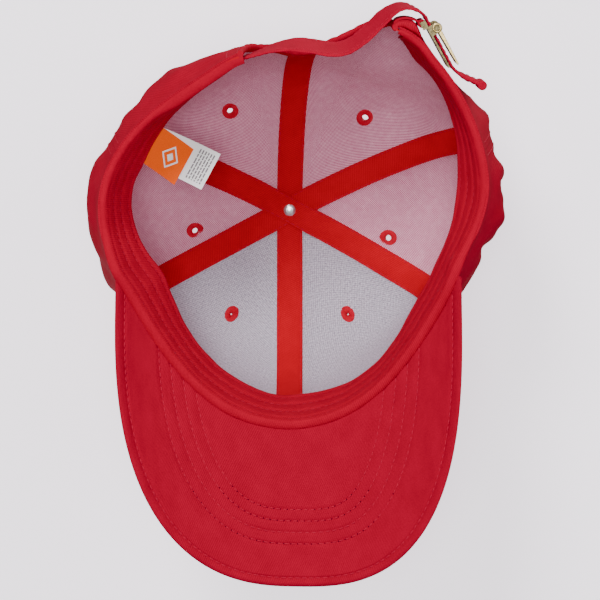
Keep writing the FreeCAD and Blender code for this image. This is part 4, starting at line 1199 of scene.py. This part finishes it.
wear(strap_section("strap_root_cloth", 0.3, ROOT_END, 60), "strap",
     stands_for="strap_root")
loop = strap_section("strap_loop_cloth", ROOT_END, LOOP_END, 240)
dress(loop, "strap")
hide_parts("strap_loop")
wear(strap_section("strap_end_cloth", LOOP_END, ARC[-1] - 0.6, 120),
     "strap", "strap", "strap_end")
wear(stitches("strap_root_stitching", strap_rows(0.5, ROOT_END), 2.3, 3.1, 0.24), "thread")
wear(stitches("strap_end_stitching", strap_rows(LOOP_END, ARC[-1] - 1.5), 2.3, 3.1, 0.24),
     "thread", "strap")
loop_thread = stitches("strap_loop_stitching", strap_rows(ROOT_END, LOOP_END), 2.3, 3.1, 0.24)
loop_thread.data.materials.append(M["thread"])
BLEND_FROM = row(strap_point(ROOT_END, 0.0, 0.0)).tolist()
BLEND_TO = row(strap_point(LOOP_END, 0.0, 0.0)).tolist()
for piece in (loop, loop_thread):
    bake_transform(piece)

# Rolled hem at the strap's tip.
tip = LINE[-1]
turns = np.linspace(0, 2 * math.pi, 40, endpoint=False)
levels = np.linspace(-STRAP_HALF, STRAP_HALF, 40)
z, t = np.meshgrid(levels, turns, indexing="ij")
radius = 2.3 - 0.35 * (np.abs(z) > STRAP_HALF - 0.3) + 0.07 * np.sin(z * 1.3)
grid = np.stack([tip[0] + radius * np.cos(t), tip[1] + radius * np.sin(t), STRAP_Z + z], -1)
hem = tube("strap_hem_cloth", grid, np.stack([1.9 * t, z], -1))
wear(crisp(hem), "strap", "strap", "strap_hem")

# ------------------------------------------------------------------ buckle
PIN_N, LEVER_HALF, LEVER_LONG = -1.1, 10.1, 20.8


def at_buckle(s, n, z):
    c, d = math.cos(BUCKLE_ANGLE), math.sin(BUCKLE_ANGLE)
    s, n, z = floats(s, n, z)
    return np.stack([BUCKLE_AT[0] + s * c + n * d, BUCKLE_AT[1] + s * d - n * c,
                     STRAP_Z + z], -1)


def plate(name, outline, z0, z1, round_by=0.22):
    """Plate with a closed (s, n) outline, bevelled all round."""
    outline = np.asarray(outline, float)
    n = len(outline)
    points = np.concatenate([at_buckle(outline[:, 0], outline[:, 1], z)
                             for z in (z0, z1)])
    faces = [list(range(n))[::-1], list(range(n, 2 * n))]
    faces += [[k, (k + 1) % n, n + (k + 1) % n, n + k] for k in range(n)]
    obj = new_mesh(name, points, faces)
    edge = obj.modifiers.new("edge", "BEVEL")
    edge.width, edge.segments, edge.limit_method = round_by / 1000, 3, "ANGLE"
    edge.angle_limit = math.radians(35)
    return crisp(obj, 50)


# The base plate and pin take the dark copy of the brass: painted shade, not a darker metal.
for name in ("buckle_base", "buckle_pin"):
    piece = frame["nodes"][name]
    piece.data.materials.clear()
    dress(piece, "brass_painted_shade")

# The lever: a round eye about the pin that runs out into a tapered flat bar.
profile = []
for k in range(19):
    t = math.radians(60 + 240 * k / 18)
    profile.append((1.5 * math.cos(t), PIN_N + 1.5 * math.sin(t)))
profile += [(2.4, -1.6), (11.0, -1.3), (LEVER_LONG - 0.6, -0.95), (LEVER_LONG, -0.8),
            (LEVER_LONG, -0.2), (LEVER_LONG - 0.6, 0.0), (11.0, 0.15), (3.4, 0.35)]
wear(plate("lever_bar", profile, -LEVER_HALF, LEVER_HALF), "brass",
     "lever", "buckle_lever")

# Raised rings round the pin on both ears.
for side in (-1.0, 1.0):
    centre = at_buckle(0.0, PIN_N, side * 11.75)
    ring_line = [(1.35, -0.1), (1.35, 0.28), (1.6, 0.42), (2.1, 0.42), (2.35, 0.25),
                 (2.4, -0.1), (1.35, -0.1)]
    eye = lathe("ear_ring", ring_line, centre, (0, 0, side), steps=48)
    eye.name = "ear_ring_" + ("lower" if side < 0 else "upper")
    wear(crisp(eye, 35), "brass")
tab = frame["nodes"]["buckle_tab"]
tab.data.materials.clear()
dress(tab, "strap")

# Cloth gathered between the corner of the opening and the tab.
FOLD_EDGE = [(-49.6, 104.4), (-51.4, 106.9), (-54.4, 108.2), (-57.8, 108.4), (-60.6, 107.6),
             (-63.0, 105.6)]
edge = spline(FOLD_EDGE)
arcs = arc_of(edge)
share = np.linspace(0.0, 1.0, 70)
outer = along_line(share * arcs[-1], arcs, edge)
azimuths = 206.2 + 9.2 * share
inner = crown(azimuths, crown_length(azimuths) - 4.0, 0.5)[:, :2]
middle, half = (outer + inner) / 2, (outer - inner) / 2
turns = np.linspace(0, 2 * math.pi, 33)[:-1]
taper = np.sqrt(np.clip(1.0 - (2.0 * share - 1.0) ** 8, 0.02, 1.0))[:, None]
w, up = [part * taper for part in superellipse(turns, 0.7, 0.7)]
wave = 0.35 * np.sin(share * 17.0)[:, None]
grid = np.empty((70, 32, 3))
grid[..., :2] = middle[:, None] + half[:, None] * w[..., None]
grid[..., 2] = 10.6 + (9.4 + wave) * up
uv = np.stack([arcs[-1] * share[:, None] + 0 * w, 9.4 * up + 4 * w], -1)
wear(crisp(tube("corner_fold", grid, uv)), "panel")

# ------------------------------------------------------------------ labels
LABEL_AZ = (129.0, 114.5)
LABEL_LIFT, LABEL_TUCK, LABEL_RISE, BOW_LENGTH = 0.45, 1.0, 3.0, 34.0


def label_frame(spread_angle, lift):
    start = band(LABEL_AZ[0], 1.0, 0.0)
    edge = band(LABEL_AZ[1], 1.0, 0.0) - start
    inward = np.array([edge[1], -edge[0], 0.0])
    inward /= np.linalg.norm(inward)
    t = math.radians(spread_angle)
    inward = np.array([inward[0] * math.cos(t) - inward[1] * math.sin(t),
                       inward[0] * math.sin(t) + inward[1] * math.cos(t), 0.0])
    return start + np.array([0, 0, LABEL_LIFT + lift]) - inward * LABEL_TUCK, edge, inward


def label_points(length, spread_angle, lift, u, v):
    start, edge, inward = label_frame(spread_angle, lift)
    along = length * v
    bow = LABEL_RISE * np.sin(math.pi * np.minimum(along / BOW_LENGTH, 1.0))
    p = start + edge * u[..., None] + inward * along[..., None]
    p[..., 2] += bow
    return p


def label_wave(curl, u, v):
    return curl * (0.35 * np.sin(u * 5.2 + 1.0) * v + 0.5 * v ** 2 * np.sin(u * 3.0 + 0.4))


def label_cloth(name, length, thick, lift, spread_angle, mat, body, curl):
    u, v = np.meshgrid(np.linspace(0, 1, 44), np.linspace(0, 1, 60), indexing="ij")
    up = np.array([0, 0, 1.0])
    base = label_points(length, spread_angle, lift, u, v)
    base += label_wave(curl, u, v)[..., None] * up
    edge = np.minimum(np.minimum(u, 1 - u) * 18.0, (1 - v) * length)
    roll = 0.18 * np.exp(-(edge / 0.7) ** 2)
    obj = slab(name, base + (thick + roll)[..., None] * up, base - roll[..., None] * up)
    wear(crisp(obj), mat, body)
    return obj


M["orange"] = twill("orange_label_satin", (0.80, 0.075, 0.001), (1.0, 0.15, 0.003), rib=0.45,
                    bump=0.25, blotch=0.2)
M["white"] = twill("white_label_satin", (0.86, 0.84, 0.84), (1.0, 0.99, 0.99), rib=0.4,
                   bump=0.2, blotch=0.2)
M["print"] = thread("label_print", (0.22, 0.20, 0.22), 0.8)
M["mark"] = thread("label_mark", (0.86, 0.84, 0.82), 0.7)

CARE_LIFT = 0.95
BRAND_LONG, BRAND_TURN = 19.5, 8.0
CARE_LONG, CARE_TURN = 32.5, -4.0
brand = label_cloth("brand_label_cloth", BRAND_LONG, 0.6, 0.0, BRAND_TURN, "orange",
                    "brand_flap", 0.3)
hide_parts("brand_label")
care = label_cloth("care_label_cloth", CARE_LONG, 0.35, CARE_LIFT, CARE_TURN, "white",
                   "care_flap", 0.3)
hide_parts("care_label")


def on_label(length, spread_angle, lift, curl, u, v, drop):
    p = label_points(length, spread_angle, lift, u, v)
    p[..., 2] += label_wave(curl, u, v) - drop
    return p


def patch(name, length, spread_angle, lift, curl, u, v, mat, body):
    """Thin raised patch of print or weave on a label's lower face."""
    a = on_label(length, spread_angle, lift, curl, u, v, -0.02)
    b = on_label(length, spread_angle, lift, curl, u, v, 0.07)
    return wear(slab(name, a, b), mat, body)


def merged(pieces, name):
    """Join several meshes that ride the same body."""
    bpy.ops.object.select_all(action="DESELECT")
    for p in pieces:
        p.select_set(True)
    bpy.context.view_layer.objects.active = pieces[0]
    bpy.ops.object.join()
    pieces[0].name = name
    return pieces[0]


# A plain diamond inside a wider outline stands for the woven mark.
def diamond(t):
    reach = np.abs(np.cos(t)) + np.abs(np.sin(t))
    return np.cos(t) / reach, np.sin(t) / reach


marks = []
for low, high in ((0.0, 0.34), (0.66, 0.84)):
    t, r = np.meshgrid(np.linspace(0, 2 * math.pi, 65), np.linspace(max(low, 0.01), high, 4),
                       indexing="ij")
    du, dv = diamond(t)
    marks.append(patch("mark_part", BRAND_LONG, BRAND_TURN, 0.0, 0.3, 0.5 + 0.36 * r * du,
                       0.56 + 0.30 * r * dv, "mark", "brand_flap"))
brand_mark = merged(marks, "brand_label_mark")

bars = []
for line_index in range(6):
    centre = 0.70 + 0.046 * line_index
    at = 0.10
    while at < 0.88:
        width = float(RNG.uniform(0.05, 0.15))
        uu, vv = np.meshgrid(np.linspace(at, min(at + width, 0.90), 5),
                             np.linspace(centre - 0.011, centre + 0.011, 3), indexing="ij")
        bars.append(patch("print_bar", CARE_LONG, CARE_TURN, CARE_LIFT, 0.3, uu, vv,
                          "print", "care_flap"))
        at += width + 0.025
care_print = merged(bars, "care_label_print")

# ------------------------------------------------------------------ stage and light
def stage_plane(name, height, size, facing, colour, glow=0.0):
    """Plain surface seen from one side only, so that it never hides the object."""
    bpy.ops.mesh.primitive_plane_add(size=size, location=(0, 0, height))
    plane = bpy.context.active_object
    plane.name = name
    if facing < 0:
        plane.rotation_euler = (math.pi, 0, 0)
    mat, nodes, links, bsdf = material(name + "_paint")
    bsdf.inputs["Base Color"].default_value = (*colour, 1)
    bsdf.inputs["Roughness"].default_value = 0.9
    bsdf.inputs["Specular IOR Level"].default_value = 0.1
    bsdf.inputs["Emission Color"].default_value = (*colour, 1)
    bsdf.inputs["Emission Strength"].default_value = glow
    clear = node(nodes, "ShaderNodeBsdfTransparent")
    mix = node(nodes, "ShaderNodeMixShader")
    side = node(nodes, "ShaderNodeNewGeometry")
    links.new(side.outputs["Backfacing"], mix.inputs["Fac"])
    links.new(bsdf.outputs["BSDF"], mix.inputs[1])
    links.new(clear.outputs["BSDF"], mix.inputs[2])
    links.new(mix.outputs["Shader"], nodes["Material Output"].inputs["Surface"])
    plane.data.materials.append(mat)
    plane.visible_shadow = False
    plane.visible_diffuse = False
    plane.visible_glossy = False
    return plane


top_z = max(p[2] for p in START_BOUNDS) + 0.001
backdrop = stage_plane("backdrop", top_z, 6.0, -1, (0.92, 0.86, 0.93), 1.25)
floor = stage_plane("floor", 0.0, 6.0, 1, (0.74, 0.73, 0.73))


def soft_light(name, at, aim, size, power, tint=(1, 1, 1)):
    data = bpy.data.lights.new(name, "AREA")
    data.shape, data.size, data.energy, data.color = "DISK", size, power, tint
    lamp = bpy.data.objects.new(name, data)
    bpy.context.scene.collection.objects.link(lamp)
    lamp.location = at
    lamp.rotation_euler = (Vector(aim) - Vector(at)).to_track_quat("-Z", "Y").to_euler()
    return lamp


lights = [
    soft_light("key", (0.50, 1.0, -1.3), (0, 0, 0.06), 0.55, 25),
    soft_light("fill", (0.05, -0.1, -1.7), (0, 0, 0.06), 0.7, 17),
    soft_light("side", (-1.3, 0.5, -0.5), (0, 0, 0.06), 0.9, 7),
    soft_light("over", (0.5, -0.8, 1.8), (0, 0, 0.06), 1.4, 30),
    soft_light("over_back", (-0.7, 1.3, 1.2), (0, 0, 0.06), 1.2, 14),
]
world = bpy.data.worlds.new("studio")
world.use_nodes = True
world.node_tree.nodes["Background"].inputs["Color"].default_value = (0.93, 0.94, 0.96, 1)
world.node_tree.nodes["Background"].inputs["Strength"].default_value = 0.42
bpy.context.scene.world = world

camera_data = bpy.data.cameras.new("camera")
camera_data.lens = 121.8
camera_data.sensor_width = 36.0
camera = bpy.data.objects.new("camera", camera_data)
camera.location = Vector(SHIFT / 1000.0) + Vector((-0.0056, -0.0288, -1.0))
camera.rotation_euler = (0.0, math.pi, 0.0)
bpy.context.scene.collection.objects.link(camera)
bpy.context.scene.camera = camera
